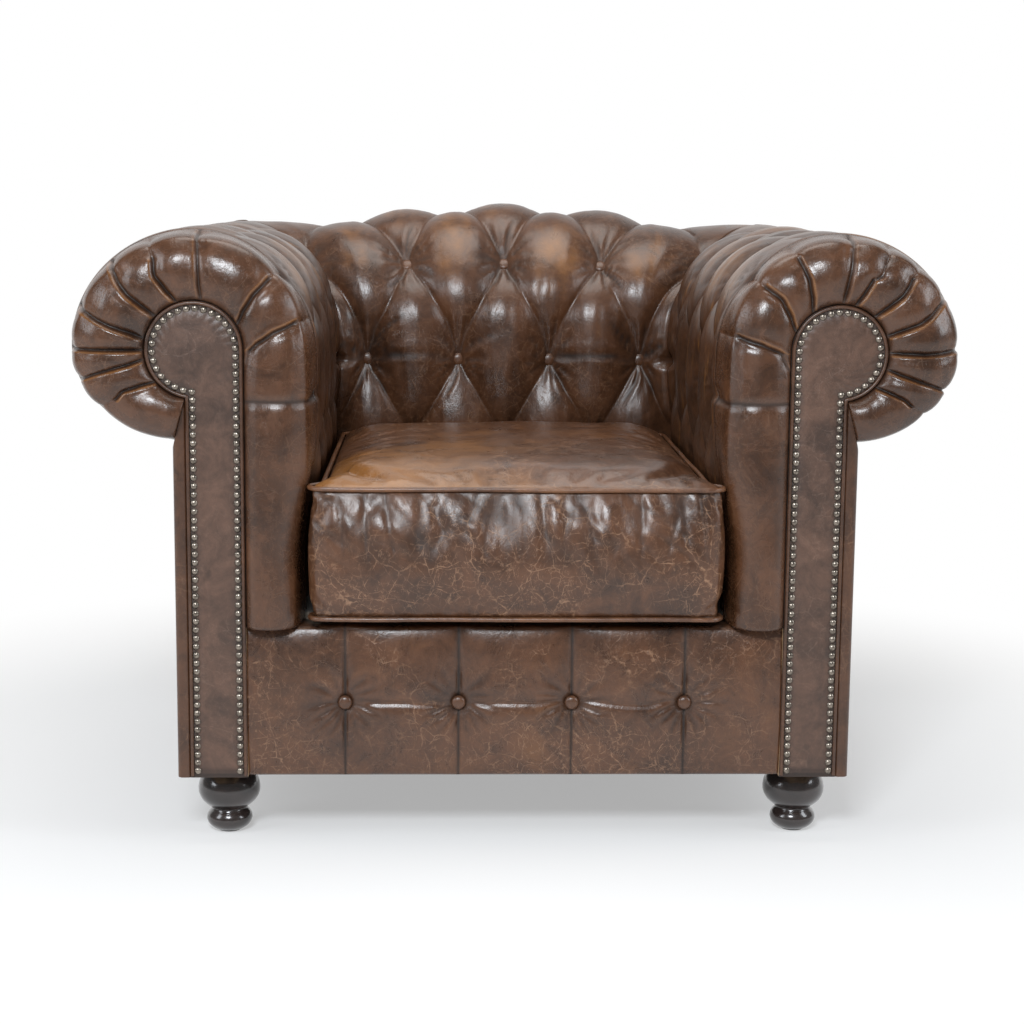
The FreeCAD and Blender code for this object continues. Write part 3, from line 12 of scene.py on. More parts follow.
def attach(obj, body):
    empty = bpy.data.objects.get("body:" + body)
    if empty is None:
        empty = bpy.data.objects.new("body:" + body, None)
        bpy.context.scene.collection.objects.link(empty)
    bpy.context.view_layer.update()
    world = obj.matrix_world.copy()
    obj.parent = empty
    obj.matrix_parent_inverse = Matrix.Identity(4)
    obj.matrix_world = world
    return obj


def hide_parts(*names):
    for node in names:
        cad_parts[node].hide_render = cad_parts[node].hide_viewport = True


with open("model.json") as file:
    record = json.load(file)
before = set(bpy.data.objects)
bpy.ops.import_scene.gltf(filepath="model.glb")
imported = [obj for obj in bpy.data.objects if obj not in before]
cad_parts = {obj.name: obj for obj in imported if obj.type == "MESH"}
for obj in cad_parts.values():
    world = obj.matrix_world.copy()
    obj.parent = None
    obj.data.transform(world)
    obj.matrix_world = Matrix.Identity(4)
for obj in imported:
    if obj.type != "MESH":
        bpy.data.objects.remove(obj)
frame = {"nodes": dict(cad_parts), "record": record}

bl_info = {
    "name": "Buttoned armchair",
    "version": (1, 0, 0),
    "blender": (4, 5, 0),
    "location": "3D View > Sidebar > Armchair",
    "description": "Dresses the armchair in buttoned leather with nails, turned feet and a loose cushion",
    "category": "Add Mesh",
}

PI = math.pi

SIDES = (("left", -1), ("right", 1))

# Places shared with the solids, in metres
HALF_INSIDE = 0.239
CREST_Y = 0.143
ROLL_X, ROLL_Y, ROLL_Z = 0.383, 0.287, 0.606
ROLL_INNER, ROLL_TOP, ROLL_OUTER, ROLL_UNDER = 0.144, 0.143, 0.153, 0.116
OUTSIDE_OFFSET, OUTSIDE_INNER = 0.027, 0.0245
OUTSIDE_X, OUTSIDE_INNER_X = 0.410, 0.4075
DECK_Z = 0.283
SEAM_Y, FACING_Y = -0.367, -0.420
BODY_BOTTOM = 0.086
FOOT_ACROSS, FOOT_ALONG = 0.355, (-0.350, 0.244)
HEAD_RADIUS, STEM_STEP = 0.058, 0.011
STEM_INNER, STEM_OUTER = ROLL_X - HEAD_RADIUS, ROLL_X + STEM_STEP
HEAD_END = math.acos(STEM_STEP / HEAD_RADIUS)
HEAD_DROP = HEAD_RADIUS * math.sin(HEAD_END)
BORDER_BULGE, BORDER_WIDE = 0.017, 0.085
LINING = 0.031
LOWER_ROW, MIDDLE_ROW, UPPER_ROW = 0.430, 0.550, 0.681
FRONT_TOP = 0.272
FRONT_Y, FRONT_BACK_Y, FRONT_BUTTON_Y = -0.407, -0.4045, -0.4095
FRONT_BUTTON_Z, FRONT_BUTTON_PITCH, FRONT_BUTTONS = 0.178, 0.138, 4

# Buttoned grid: metres from one column and one row to the next, and the last row before the mitre
TUFT_PITCH, TUFT_RISE = 0.067, 0.125
CORNER_ROW = 3.75
FELT = (0.16, 0.13, 0.10)


# Sizes and colours that a user would change
def length_of(name, text, default):
    return FloatProperty(name=name, description=text, default=default, unit="LENGTH")


def colour_of(name, text, default):
    return FloatVectorProperty(name=name, description=text, subtype="COLOR", default=default)


class ArmchairSizes(bpy.types.PropertyGroup):
    tuft_depth: length_of("Button depth", "Crest of the pillows down to the buttons", 0.028)
    pleat_depth: length_of("Pleat depth", "Depth of the pleats on the outside of the rolls", 0.009)
    back_rise: length_of("Back rise", "How far the middle of the back stands above the arms", 0.029)
    button_radius: length_of("Button radius", "Buttons of the back and the arms", 0.0100)
    front_button_radius: length_of("Front button radius", "Buttons of the front rail", 0.0088)
    nail_radius: length_of("Nail radius", "Domed nails round the facings", 0.0046)
    nail_pitch: length_of("Nail pitch", "From one nail to the next", 0.0103)
    nail_inset: length_of("Nail inset", "Nail line in from the facing's edge", 0.0088)
    welt_radius: length_of("Welt radius", "Welt round the facings", 0.0022)
    piping_radius: length_of("Piping radius", "Piping of the seat cushion", 0.0030)
    cushion_crown: length_of("Cushion crown", "Rise of the cushion's middle above its piping", 0.021)


class ArmchairLooks(bpy.types.PropertyGroup):
    # The dark leather colour makes the dark blotches, and a third of it is the painted shade in creases
    leather_dark: colour_of("Dark leather", "Dark blotches of the leather, and the base of the painted shade in folds", (0.021, 0.0088, 0.0045))
    leather_brown: colour_of("Leather", "Main colour of the leather", (0.105, 0.042, 0.0180))
    leather_tan: colour_of("Stretched leather", "Where the leather is pulled tight", (0.262, 0.108, 0.024))
    leather_vein: colour_of("Veins", "Fine scratches and veins", (0.290, 0.160, 0.090))
    foot_colour: colour_of("Feet", "Stain of the turned feet", (0.012, 0.0055, 0.004))
    nail_colour: colour_of("Nails", "Metal of the nails", (0.36, 0.31, 0.26))


def sizes():
    return bpy.context.scene.armchair_sizes


def looks():
    return bpy.context.scene.armchair_looks


# Shader expressions
class Value:
    """A shader socket that can be added, subtracted and multiplied like a number."""

    def __init__(self, shader, socket):
        self.shader = shader
        self.socket = socket

    def maths(self, operation, first, second):
        return self.shader.node("ShaderNodeMath", {"operation": operation}, {0: first, 1: second})

    def __add__(self, other):
        return self.maths("ADD", self, other)

    def __sub__(self, other):
        return self.maths("SUBTRACT", self, other)

    def __rsub__(self, other):
        return self.maths("SUBTRACT", other, self)

    def __mul__(self, other):
        return self.maths("MULTIPLY", self, other)


class Shader:
    """A material and the nodes that are added to it."""

    def __init__(self, name):
        self.material = bpy.data.materials.new(name)
        self.material.use_nodes = True
        self.tree = self.material.node_tree
        self.surface = self.tree.nodes["Principled BSDF"]

    def feed(self, socket, value):
        if isinstance(value, Value):
            self.tree.links.new(value.socket, socket)
        else:
            socket.default_value = value

    def node(self, kind, settings, inputs, output=0):
        made = self.tree.nodes.new(kind)
        for name, value in settings.items():
            setattr(made, name, value)
        for key, value in inputs.items():
            self.feed(made.inputs[key], value)
        return Value(self, made.outputs[output])

    def blend(self, factor, first, second):
        settings = {"data_type": "RGBA", "clamp_factor": True}
        pick = [(*c, 1.0) if isinstance(c, tuple) and len(c) == 3 else c for c in (first, second)]
        return self.node("ShaderNodeMix", settings, {0: factor, 6: pick[0], 7: pick[1]}, 2)

    def ramp(self, value, low, high):
        settings = {"interpolation_type": "SMOOTHSTEP", "clamp": True}
        return self.node("ShaderNodeMapRange", settings, {0: value, 1: low, 2: high, 3: 0.0, 4: 1.0})

    def place(self, scale=(1.0, 1.0, 1.0), turn=(0.0, 0.0, 0.0)):
        where = self.node("ShaderNodeTexCoord", {}, {}, "Object")
        return self.node("ShaderNodeMapping", {}, {0: where, "Scale": scale, "Rotation": turn})

    def noise(self, where, scale, detail=4.0, rough=0.55, twist=0.0):
        inputs = {
            "Vector": where, "Scale": scale, "Detail": detail, "Roughness": rough, "Distortion": twist,
        }
        return self.node("ShaderNodeTexNoise", {}, inputs, 0)

    def cells(self, where, scale, feature="F1"):
        inputs = {"Vector": where, "Scale": scale}
        return self.node("ShaderNodeTexVoronoi", {"feature": feature}, inputs, 0)

    def mark(self, name):
        """A share from 0 to 1 that the mesh carries at its points."""
        return self.node("ShaderNodeAttribute", {"attribute_name": name}, {}, "Fac")

    def bump(self, height, strength, distance):
        inputs = {"Height": height, "Strength": strength, "Distance": distance}
        return self.node("ShaderNodeBump", {}, inputs, 0)

    def finish(self, values):
        for key, value in values.items():
            self.feed(self.surface.inputs[key], value)
        return self.material


MATERIALS = {}


def made_once(recipe):
    """Give each named material its shader once, and the same one when it is asked for again."""
    def ask(name, *values, **named):
        if name not in MATERIALS:
            MATERIALS[name] = recipe(Shader(name), *values, **named)
        return MATERIALS[name]
    return ask


@made_once
def leather(s, tint=1.0, gold=1.0, veins=0.5, rough=0.36, wrinkle=0.5, grey=0.0, streak=0.0):
    """Waxed pull-up leather: blotchy brown that goes golden where it is stretched, with painted shade
    darkening its creases.
    """
    colours = looks()
    soft = s.place()
    blotch = s.noise(soft, 7.0, 3.0, 0.55, 0.4)
    cloud = s.noise(soft, 26.0, 6.0, 0.68, 0.8)
    speck = s.noise(soft, 150.0, 4.0, 0.7)
    wear = s.mark("wear")
    crease_shade = s.mark("crease_shade")

    def tinted(colour):
        mean = sum(colour) / 3
        return tuple((c * (1 - grey) + mean * grey) * tint for c in colour)

    dark, brown = tinted(colours.leather_dark), tinted(colours.leather_brown)
    tan, pale = tinted(colours.leather_tan), tinted(colours.leather_vein)
    tone = s.ramp(cloud * 0.62 + blotch * 0.38 + speck * 0.16 + wear * 0.12, 0.38, 0.80)
    base = s.blend(tone * 0.90 + 0.10, dark, brown)
    gilt = s.ramp(wear * 0.80 + blotch * 0.5 + cloud * 0.45, 0.80, 1.32)
    base = s.blend(gilt * gold, base, tan)
    if streak:
        brushed = s.noise(s.place((1.2, 9.0, 1.2)), 11.0, 5.0, 0.7, 0.5)
        base = s.blend(s.ramp(brushed, 0.56, 0.70) * streak, base, tan)
        base = s.blend((1.0 - s.ramp(brushed, 0.30, 0.46)) * streak, base, dark)
    warp = s.node("ShaderNodeTexNoise", {}, {"Vector": soft, "Scale": 21.0, "Detail": 4.0}, "Color")
    bend = {0: warp, 1: (0.028, 0.028, 0.028), 2: soft}
    bent = s.node("ShaderNodeVectorMath", {"operation": "MULTIPLY_ADD"}, bend)
    coarse = s.cells(bent, 24.0, "DISTANCE_TO_EDGE")
    fine = s.cells(bent, 62.0, "DISTANCE_TO_EDGE")
    lines = 1.0 - s.ramp(coarse, 0.0, 0.022)
    threads = 1.0 - s.ramp(fine, 0.0, 0.036)
    drift = s.noise(s.place((1.0, 1.0, 0.7), (0.3, 0.5, 0.8)), 30.0, 6.0, 0.62, 2.2)
    off_middle = s.node("ShaderNodeMath", {"operation": "ABSOLUTE"}, {0: drift - 0.5})
    scratch = 1.0 - s.ramp(off_middle, 0.0, 0.011)
    patch = s.ramp(s.noise(soft, 9.0, 4.0, 0.65, 0.7), 0.36, 0.66)
    network = s.node("ShaderNodeMath", {"operation": "MAXIMUM"}, {0: lines, 1: threads * 0.7})
    network = s.node("ShaderNodeMath", {"operation": "MAXIMUM"}, {0: network, 1: scratch * 0.9}) * patch
    network = network * s.ramp(speck, 0.36, 0.60)
    base = s.blend(network * veins, base, pale)
    # painted shade: creases and hollows are darkened towards a third of the darkest leather
    base = s.blend(crease_shade * 0.90, base, tuple(c * 0.30 for c in dark))
    pebble = s.cells(bent, 620.0)
    folds = s.noise(s.place((1.0, 1.0, 0.45)), 62.0, 5.0, 0.62, 1.4)
    height = folds * wrinkle + pebble * 0.08 + speck * 0.12 - network * 0.10
    normal = s.bump(height, 0.40, 0.0022)
    sheen = cloud * 0.20 - wear * 0.02 + crease_shade * 0.25 + network * 0.10 + (rough - 0.15)
    return s.finish({
        "Base Color": base, "Roughness": sheen, "Normal": normal, "Specular IOR Level": 0.62,
    })


@made_once
def stained_wood(s, colour, rough, gloss=0.0, grain=26.0):
    rings = s.noise(s.place((1.0, 0.18, 1.0)), grain, 6.0, 0.6, 1.2)
    pores = s.noise(s.place((1.0, 0.06, 1.0)), 320.0, 3.0, 0.7)
    light = tuple(min(1.0, c * 1.5 + 0.01) for c in colour)
    deep = tuple(c * 0.55 for c in colour)
    base = s.blend(s.ramp(rings, 0.32, 0.68), deep, light)
    normal = s.bump(rings * 0.4 + pores * 0.6, 0.12 if gloss else 0.35, 0.0006)
    return s.finish({
        "Base Color": base, "Roughness": pores * 0.12 + rough, "Normal": normal,
        "Coat Weight": gloss, "Coat Roughness": 0.12,
    })


@made_once
def woven(s, colour, threads, rough=0.85):
    where = s.place()

    def bands(direction):
        settings = {"wave_type": "BANDS", "bands_direction": direction}
        inputs = {"Vector": where, "Scale": threads, "Distortion": 1.2}
        return s.node("ShaderNodeTexWave", settings, inputs, 1)

    across, along = bands("X"), bands("Y")
    fuzz = s.noise(where, 240.0, 4.0, 0.7)
    tone = across * 0.35 + along * 0.35 + fuzz * 0.5
    light = tuple(min(1.0, c * 1.25) for c in colour)
    base = s.blend(s.ramp(tone, 0.2, 0.95), tuple(c * 0.45 for c in colour), light)
    return s.finish({
        "Base Color": base, "Roughness": fuzz * 0.1 + (rough - 0.05),
        "Normal": s.bump(tone, 0.5, 0.0009),
    })


@made_once
def metal(s, colour, rough, pits=0.5):
    where = s.place()
    patina = s.noise(where, 210.0, 4.0, 0.65, 0.6)
    scratch = s.noise(where, 900.0, 3.0, 0.7)
    crease_shade = s.mark("crease_shade")
    base = s.blend(s.ramp(patina, 0.34, 0.66), tuple(c * 0.45 for c in colour), tuple(colour))
    # painted shade: where the crease share is set, the metal is darkened almost to black and made less
    # metallic
    base = s.blend(crease_shade * 0.9, base, tuple(c * 0.06 for c in colour))
    return s.finish({
        "Base Color": base, "Metallic": 1.0 - crease_shade * 0.6,
        "Roughness": patina * 0.2 + crease_shade * 0.3 + rough,
        "Normal": s.bump(patina * pits + scratch * 0.2, 0.3, 0.0004),
    })


@made_once
def plain_plastic(s, colour, rough):
    mottle = s.noise(s.place(), 180.0, 3.0, 0.6)
    light = tuple(min(1.0, c * 1.2) for c in colour)
    base = s.blend(mottle, tuple(c * 0.8 for c in colour), light)
    return s.finish({
        "Base Color": base, "Roughness": mottle * 0.15 + rough, "Normal": s.bump(mottle, 0.2, 0.0003),
    })


# Meshes
class Mesh:
    """Points and faces gathered for one piece, with wear shares and crease shares of painted shade at the
    points.
    """

    def __init__(self):
        self.points = []
        self.faces = []
        self.wear = []
        self.crease_shade = []
        self.count = 0

    def add(self, points, wear=0.0, crease_shade=0.0):
        points = np.asarray(points, float).reshape(-1, 3)
        start = self.count
        self.points.append(points)
        self.wear.append(np.broadcast_to(np.asarray(wear, float).ravel(), (len(points),)))
        self.crease_shade.append(np.broadcast_to(np.asarray(crease_shade, float).ravel(), (len(points),)))
        self.count += len(points)
        return start

    def grid(self, points, wear=0.0, crease_shade=0.0, around=False, along=False):
        """Quads over rows of points; around joins the last column to the first, along the rows."""
        rows, columns = points.shape[:2]
        if not np.isscalar(wear):
            wear = np.asarray(wear).reshape(rows * columns)
        if not np.isscalar(crease_shade):
            crease_shade = np.asarray(crease_shade).reshape(rows * columns)
        start = self.add(points, wear, crease_shade)
        wide = columns if around else columns - 1
        for row in range(rows if along else rows - 1):
            below = start + row * columns
            above = start + ((row + 1) % rows) * columns
            for column in range(wide):
                after = (column + 1) % columns
                self.faces.append((below + column, below + after, above + after, above + column))
        return start

    def shell(self, outer, inner, step, wear, crease_shade, sides):
        """A fine face and a coarse one behind it, with the named sides between them closed."""
        first = self.grid(outer, wear, crease_shade)
        second = self.grid(inner)
        rows, columns = outer.shape[:2]
        low_rows, low_columns = inner.shape[:2]

        def edge(line, coarse):
            for number in range(len(coarse) - 1):
                span = line[number * step:(number + 1) * step + 1]
                self.faces.append(tuple(span) + (coarse[number + 1], coarse[number]))

        fine = np.arange(rows * columns).reshape(rows, columns) + first
        rough = np.arange(low_rows * low_columns).reshape(low_rows, low_columns) + second
        picks = {
            "first_row": (fine[0], rough[0]), "last_row": (fine[-1], rough[-1]),
            "first_column": (fine[:, 0], rough[:, 0]), "last_column": (fine[:, -1], rough[:, -1]),
        }
        for side in sides:
            line, coarse = picks[side]
            edge([int(i) for i in line], [int(i) for i in coarse])

    def cap(self, indices):
        self.faces.append(tuple(indices))

    def closed(self, rings, wear=0.0, crease_shade=0.0):
        """Rings joined one to the next, with a face over the first and the last."""
        rings = np.asarray(rings, float)
        start = self.grid(rings, wear, crease_shade, around=True)
        rows, wide = rings.shape[:2]
        self.cap(range(start, start + wide))
        self.cap(range(start + (rows - 1) * wide, start + rows * wide))

    def tube(self, path, radius, count=10, closed=False, wear=0.0, crease_shade=0.0):
        """A round cord along a path, with flat ends unless it is closed."""
        path = [Vector(point) for point in path]
        total = len(path)
        rings = []
        side = None
        for number in range(total):
            before = path[number - 1] if closed or number else path[0]
            after = path[(number + 1) % total] if closed or number < total - 1 else path[-1]
            ahead = (after - before).normalized()
            if side is None:
                helper = Vector((0, 1, 0)) if abs(ahead.y) < 0.8 else Vector((1, 0, 0))
                side = ahead.cross(helper).normalized()
            side = (side - ahead * side.dot(ahead)).normalized()
            other = ahead.cross(side)
            ring = []
            for step in range(count):
                turn = 2 * PI * step / count
                ring.append(path[number] + (side * math.cos(turn) + other * math.sin(turn)) * radius)
            rings.append([tuple(point) for point in ring])
        if closed:
            self.grid(np.array(rings), wear, crease_shade, around=True, along=True)
        else:
            self.closed(rings, wear, crease_shade)

    def lathe(self, rings, centre, count=48, normal=(0, 0, 1), ripple=0.0, wear=0.0, crease_shade=None):
        """Rings of radius and height about a line from centre along normal, closed at both ends."""
        normal = Vector(normal).normalized()
        helper = Vector((0, 0, 1)) if abs(normal.z) < 0.8 else Vector((1, 0, 0))
        one = normal.cross(helper).normalized()
        two = normal.cross(one)
        points = np.zeros((len(rings), count, 3))
        turn = 2 * PI * np.arange(count) / count
        for row, (radius, height) in enumerate(rings):
            wide = radius * (1 + ripple * np.cos(turn * 11))
            points[row] = np.array(centre) + height * np.array(normal)
            points[row] += (
                np.outer(wide * np.cos(turn), np.array(one)) + np.outer(wide * np.sin(turn), np.array(two)))
        shade = 0.0
        if crease_shade is not None:
            shade = np.repeat(np.asarray(crease_shade, float), count)
        self.closed(points, wear, shade)

    def build(self, name, material, body, slot, replaces, merge=0.00002):
        """One piece from what was gathered, riding on a body in place of the named nodes."""
        mesh = bpy.data.meshes.new(name)
        mesh.from_pydata(np.concatenate(self.points).tolist(), [], self.faces)
        for key, parts in (("wear", self.wear), ("crease_shade", self.crease_shade)):
            layer = mesh.attributes.new(key, "FLOAT", "POINT")
            layer.data.foreach_set("value", np.concatenate(parts).astype(np.float32))
        shape = bmesh.new()
        shape.from_mesh(mesh)
        if merge:
            bmesh.ops.remove_doubles(shape, verts=shape.verts, dist=merge)
        bmesh.ops.recalc_face_normals(shape, faces=shape.faces)
        shape.to_mesh(mesh)
        shape.free()
        mesh.shade_smooth()
        mesh.materials.append(material)
        piece = bpy.data.objects.new(name, mesh)
        bpy.context.scene.collection.objects.link(piece)
        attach(piece, body)
        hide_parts(*replaces)
        return piece


def sharp_edges(piece, degrees):
    """Keep edges sharper than an angle crisp."""
    limit = math.radians(degrees)
    shape = bmesh.new()
    shape.from_mesh(piece.data)
    for edge in shape.edges:
        if len(edge.link_faces) == 2 and edge.calc_face_angle(0.0) > limit:
            edge.smooth = False
    shape.to_mesh(piece.data)
    shape.free()


def field(one, two, scale_one, scale_two, seed):
    """Smooth noise over two coordinates, from about -1 to 1."""
    one, two = np.broadcast_arrays(one, two)
    places = zip((one.ravel() * scale_one).tolist(), (two.ravel() * scale_two).tolist())
    return np.array([noise.noise((a, b, seed)) for a, b in places]).reshape(one.shape)


# The padded profile of the arms and the back
def ease(t):
    t = np.clip(t, 0.0, 1.0)
    return t * t * (3 - 2 * t)


def profile(station, depth):
    """Offset from the inside crest and height, at a station and a depth under the crest.
    Stations 0 to 1 climb the inside face, 1 to 3 go over the roll and 3 to 4 come under it."""
    station, depth = np.broadcast_arrays(np.asarray(station, float), np.asarray(depth, float))
    tuft = sizes().tuft_depth
    climb = DECK_Z + (ROLL_Z - DECK_Z) * station
    press = 0.018 * ease((0.48 - climb) / 0.13)
    turn = PI / 2 * (station - 1)
    over = PI / 2 * (station - 2)
    reach = ROLL_OUTER - depth
    under = (station - 3) * np.arccos(OUTSIDE_OFFSET / reach)
    where = [station <= 1, station <= 2, station <= 3]
    offset = np.select(where, [
        depth + press * np.maximum(0.0, 1 - depth / tuft),
        ROLL_INNER - (ROLL_INNER - depth) * np.cos(turn),
        ROLL_INNER + reach * np.sin(over),
    ], ROLL_INNER + reach * np.cos(under))
    height = np.select(where, [
        climb,
        ROLL_Z + (ROLL_TOP - depth) * np.sin(turn),
        ROLL_Z + (ROLL_TOP - depth) * np.cos(over),
    ], ROLL_Z - (ROLL_UNDER - depth) * np.sin(under))
    return offset, height


def button_stations():
    tuft = sizes().tuft_depth
    upper = 1 + math.asin((UPPER_ROW - ROLL_Z) / (ROLL_TOP - tuft)) / (PI / 2)
    climb = ROLL_Z - DECK_Z
    return (
        0.0, (LOWER_ROW - DECK_Z) / climb, (MIDDLE_ROW - DECK_Z) / climb, upper,
        upper + (2 - upper) * 4 / 3,
    )


def station_of(row):
    return np.interp(row, [0, 1, 2, 3, 4, 4.5, 5], [*button_stations(), 3, 4])


def row_of(station):
    return np.interp(station, [*button_stations(), 3, 4], [0, 1, 2, 3, 4, 4.5, 5])


def pillow(column, row):
    """How high the leather stands, from 0 at a button to 1 in the middle of a diamond."""
    one = np.abs(np.sin(PI * (column + row - 1) / 2)) ** 0.62
    two = np.abs(np.sin(PI * (column - row - 1) / 2)) ** 0.62
    between = one * two + 0.46 * (one + two - 2 * one * two)
    over = np.abs(np.sin(PI * (column - 1) / 2)) ** 0.7
    share = ease((row - 3.86) / 0.2)
    return between * (1 - share) + over * share


def nearest_button(column, row):
    """Distance to the nearest button and the direction to it, in metres and radians."""
    best = np.full(np.broadcast(column, row).shape, 9.0)
    angle = np.zeros_like(best)
    label = np.zeros_like(best)
    for right in (0, 1):
        for up in (0, 1):
            c0, r0 = np.floor(column) + right, np.floor(row) + up
            held = (np.mod(c0 + r0, 2) == 1) & (r0 >= 1) & (r0 <= 4)
            dx, dz = (column - c0) * TUFT_PITCH, (row - r0) * TUFT_RISE
            away = np.where(held, np.hypot(dx, dz), 9.0)
            closer = away < best
            best = np.where(closer, away, best)
            angle = np.where(closer, np.arctan2(dz, dx), angle)
            label = np.where(closer, c0 * 3.7 + r0 * 5.3, label)
    return best, angle, label


# Single folds of the back: column and row of both ends, and depth
BACK_FOLDS = (
    (-3.0, 2.0, -1.0, 2.03, 0.0030), (1.0, 2.02, 3.0, 2.0, 0.0032), (-4.0, 2.10, -3.0, 2.0, 0.0040),
    (3.0, 2.0, 4.0, 2.12, 0.0040), (-0.9, 2.06, 0.2, 2.22, 0.0016), (-2.9, 2.1, -2.1, 2.34, 0.0020),
    (2.9, 2.1, 2.2, 2.36, 0.0020), (-2.0, 2.92, -2.62, 2.62, 0.0022), (2.0, 2.92, 2.6, 2.6, 0.0022),
    (0.0, 2.94, 0.34, 2.55, 0.0018), (-0.1, 2.9, -0.42, 2.6, 0.0018), (-3.0, 1.9, -2.5, 1.45, 0.0024),
    (3.0, 1.9, 2.52, 1.42, 0.0024), (-1.0, 1.9, -1.4, 1.5, 0.0020), (1.0, 1.9, 1.42, 1.52, 0.0020),
    (-3.0, 1.92, -3.5, 1.5, 0.0022), (3.0, 1.92, 3.48, 1.48, 0.0022), (0.0, 3.06, 0.32, 3.5, 0.0018),
    (-2.0, 3.06, -1.66, 3.5, 0.0018), (2.0, 3.06, 1.7, 3.46, 0.0018), (0.0, 3.06, -0.3, 3.44, 0.0016),
)


def folds_of(column, row, lines):
    """Depth of single thin folds and the crease share of painted shade along them, each from one place on
    the buttoned grid to another.
    """
    depth = np.zeros(column.shape)
    crease_shade = np.zeros(column.shape)
    for c0, r0, c1, r1, deep in lines:
        run = np.array(((c1 - c0) * TUFT_PITCH, (r1 - r0) * TUFT_RISE))
        length = np.hypot(*run)
        x, y = (column - c0) * TUFT_PITCH, (row - r0) * TUFT_RISE
        share = (x * run[0] + y * run[1]) / length ** 2
        bow = 0.004 * np.sin(PI * np.clip(share, 0, 1))
        gap = (x * run[1] - y * run[0]) / length + bow
        on = ease(share / 0.10) * ease((1.0 - share) / 0.45) * deep
        beside = np.exp(-((np.abs(gap) - 0.0060) / 0.0035) ** 2)
        depth += on * np.exp(-np.abs(gap) / 0.0022) - 0.45 * on * beside
        # painted shade along the middle of each fold
        crease_shade = np.maximum(crease_shade, np.exp(-(gap / 0.0016) ** 2) * np.clip(on / 0.0022, 0, 1))
    return depth, crease_shade


def tufting(column, row, end_distance, seed, lines=()):
    """Depth under the crest, wear, and the crease share of painted shade in the folds, of buttoned leather
    over columns and rows.
    """
    column, row = np.broadcast_arrays(column, row)
    across, up = column * TUFT_PITCH, row * TUFT_RISE
    tuft, pleat = sizes().tuft_depth, sizes().pleat_depth
    height = pillow(column, row)
    side = np.exp(-((row - 2) / 0.055) ** 2) * (end_distance < 1)
    height = height * (1 - side * 0.5 * (1 - np.abs(np.sin(PI * end_distance / 2))))
    full = tuft + (pleat - tuft) * ease((row - 4) / 0.5)
    depth = full * (1 - height)
    away, angle, label = nearest_button(column, row)
    ring = np.exp(-((away - 0.022) / 0.017) ** 2)
    spokes = np.abs(np.cos(angle * 6.5 + label + 0.9 * np.sin(angle * 3 + label * 2)))
    spokes = (1 - spokes) ** 1.5
    depth = depth + 0.0030 * ring * spokes
    slack = field(across, up, 16.0, 11.0, seed)
    grain = field(across, up, 75.0, 24.0, seed + 7.0)
    inner = ease(height * 1.6)
    depth = depth + 0.0020 * slack * inner + 0.0009 * grain * inner * ease((4.3 - row) / 0.5)
    high = ease((row - 1.7) / 1.3)
    patch = 0.5 + 0.5 * field(across, up, 9.0, 9.0, seed + 3.0) + 0.28 * grain
    wear = np.clip(height, 0, 1) ** 1.6 * (0.30 + 0.62 * high) * (0.30 + 0.75 * patch)
    # painted shade: darkest low between the pillows and along the wrinkles round the buttons, fading out
    # over the rolls
    crease_shade = np.clip(1 - height * 3.2, 0, 1) ** 1.2 + 0.6 * ring * spokes
    crease_shade = crease_shade * (1 - 0.75 * ease((row - 3.9) / 0.5))
    if lines:
        more, dark = folds_of(column, row, lines)
        depth, crease_shade = depth + more, np.maximum(crease_shade, 0.9 * dark)
    return depth, np.clip(wear, 0, 1), np.clip(crease_shade, 0, 1)


def relief(column, row, end_distance, seed, plain, lines=()):
    """Buttoned leather, or the plain depth of its lining."""
    if plain is None:
        return tufting(column, row, end_distance, seed, lines)
    return np.full(column.shape, plain), 0.0, 0.0


# Places from one button to the next on the face, and how many of them the lining skips
FINE = 28
STEP = 4
TUFT_ROWS = np.concatenate([
    np.linspace(0, 1, 17)[:-1], 1 + np.arange(3 * FINE) / FINE, np.linspace(4, 4.5, 33)[:-1],
    np.linspace(4.5, 5, 17),
])
CORNER_ROWS = TUFT_ROWS[TUFT_ROWS >= CORNER_ROW - 1e-9]
CORNER_SHARES = np.linspace(0, 1, 25)


def arm_along(column, station, offset):
    """Y of a column of the arm: column 8 is the border's seam and column 0 the mitre."""
    pitch = (CREST_Y + sizes().tuft_depth - SEAM_Y) / 8
    first = SEAM_Y + pitch * 7 * (1 + 0.1 * ease(station - 1))
    mitre = CREST_Y + np.minimum(offset, ROLL_INNER)
    near = mitre + (first - mitre) * column
    far = SEAM_Y + (first - SEAM_Y) * (8 - column) / 7
    return np.where(column <= 1, near, far)


def arm_surface(side, columns, rows, plain=None):
    column, row = np.meshgrid(columns, rows)
    station = station_of(row)
    end_distance = np.where(column > 4, 8 - column, column)
    depth, wear, crease_shade = relief(column, row, end_distance, 11.0 + side, plain)
    if plain is None:
        depth = depth * (1 - 0.6 * ease(column - 7))
        depth = depth + 0.0020 * np.exp(-((column - 8) * TUFT_PITCH / 0.0035) ** 2)
    offset, height = profile(station, depth)
    along = arm_along(column, station, offset)
    return np.stack([side * (HALF_INSIDE + offset), along, height], -1), wear, crease_shade


def corner_surface(first, run, seed, shares, rows, plain):
    """Half of the corner behind the mitre, from 0 at its arm or the back to 1 at 45 degrees:
    how far it lies from the corner's centre, its turn and height, wear and the crease share of painted
    shade."""
    share, row = np.meshgrid(shares, rows)
    station = station_of(row)
    middle = np.full(share.shape, 2.0)
    depth, wear, crease_shade = relief(first + run * share, row, middle, seed, plain)
    if plain is None:
        level = tufting(first + 0 * share, row, middle, seed)[0]
        depth = np.where(np.isclose(station, 2.0), level, depth)
    offset, height = profile(station, depth)
    return np.maximum(offset - ROLL_INNER, 0.0), PI / 4 * share, height, wear, crease_shade


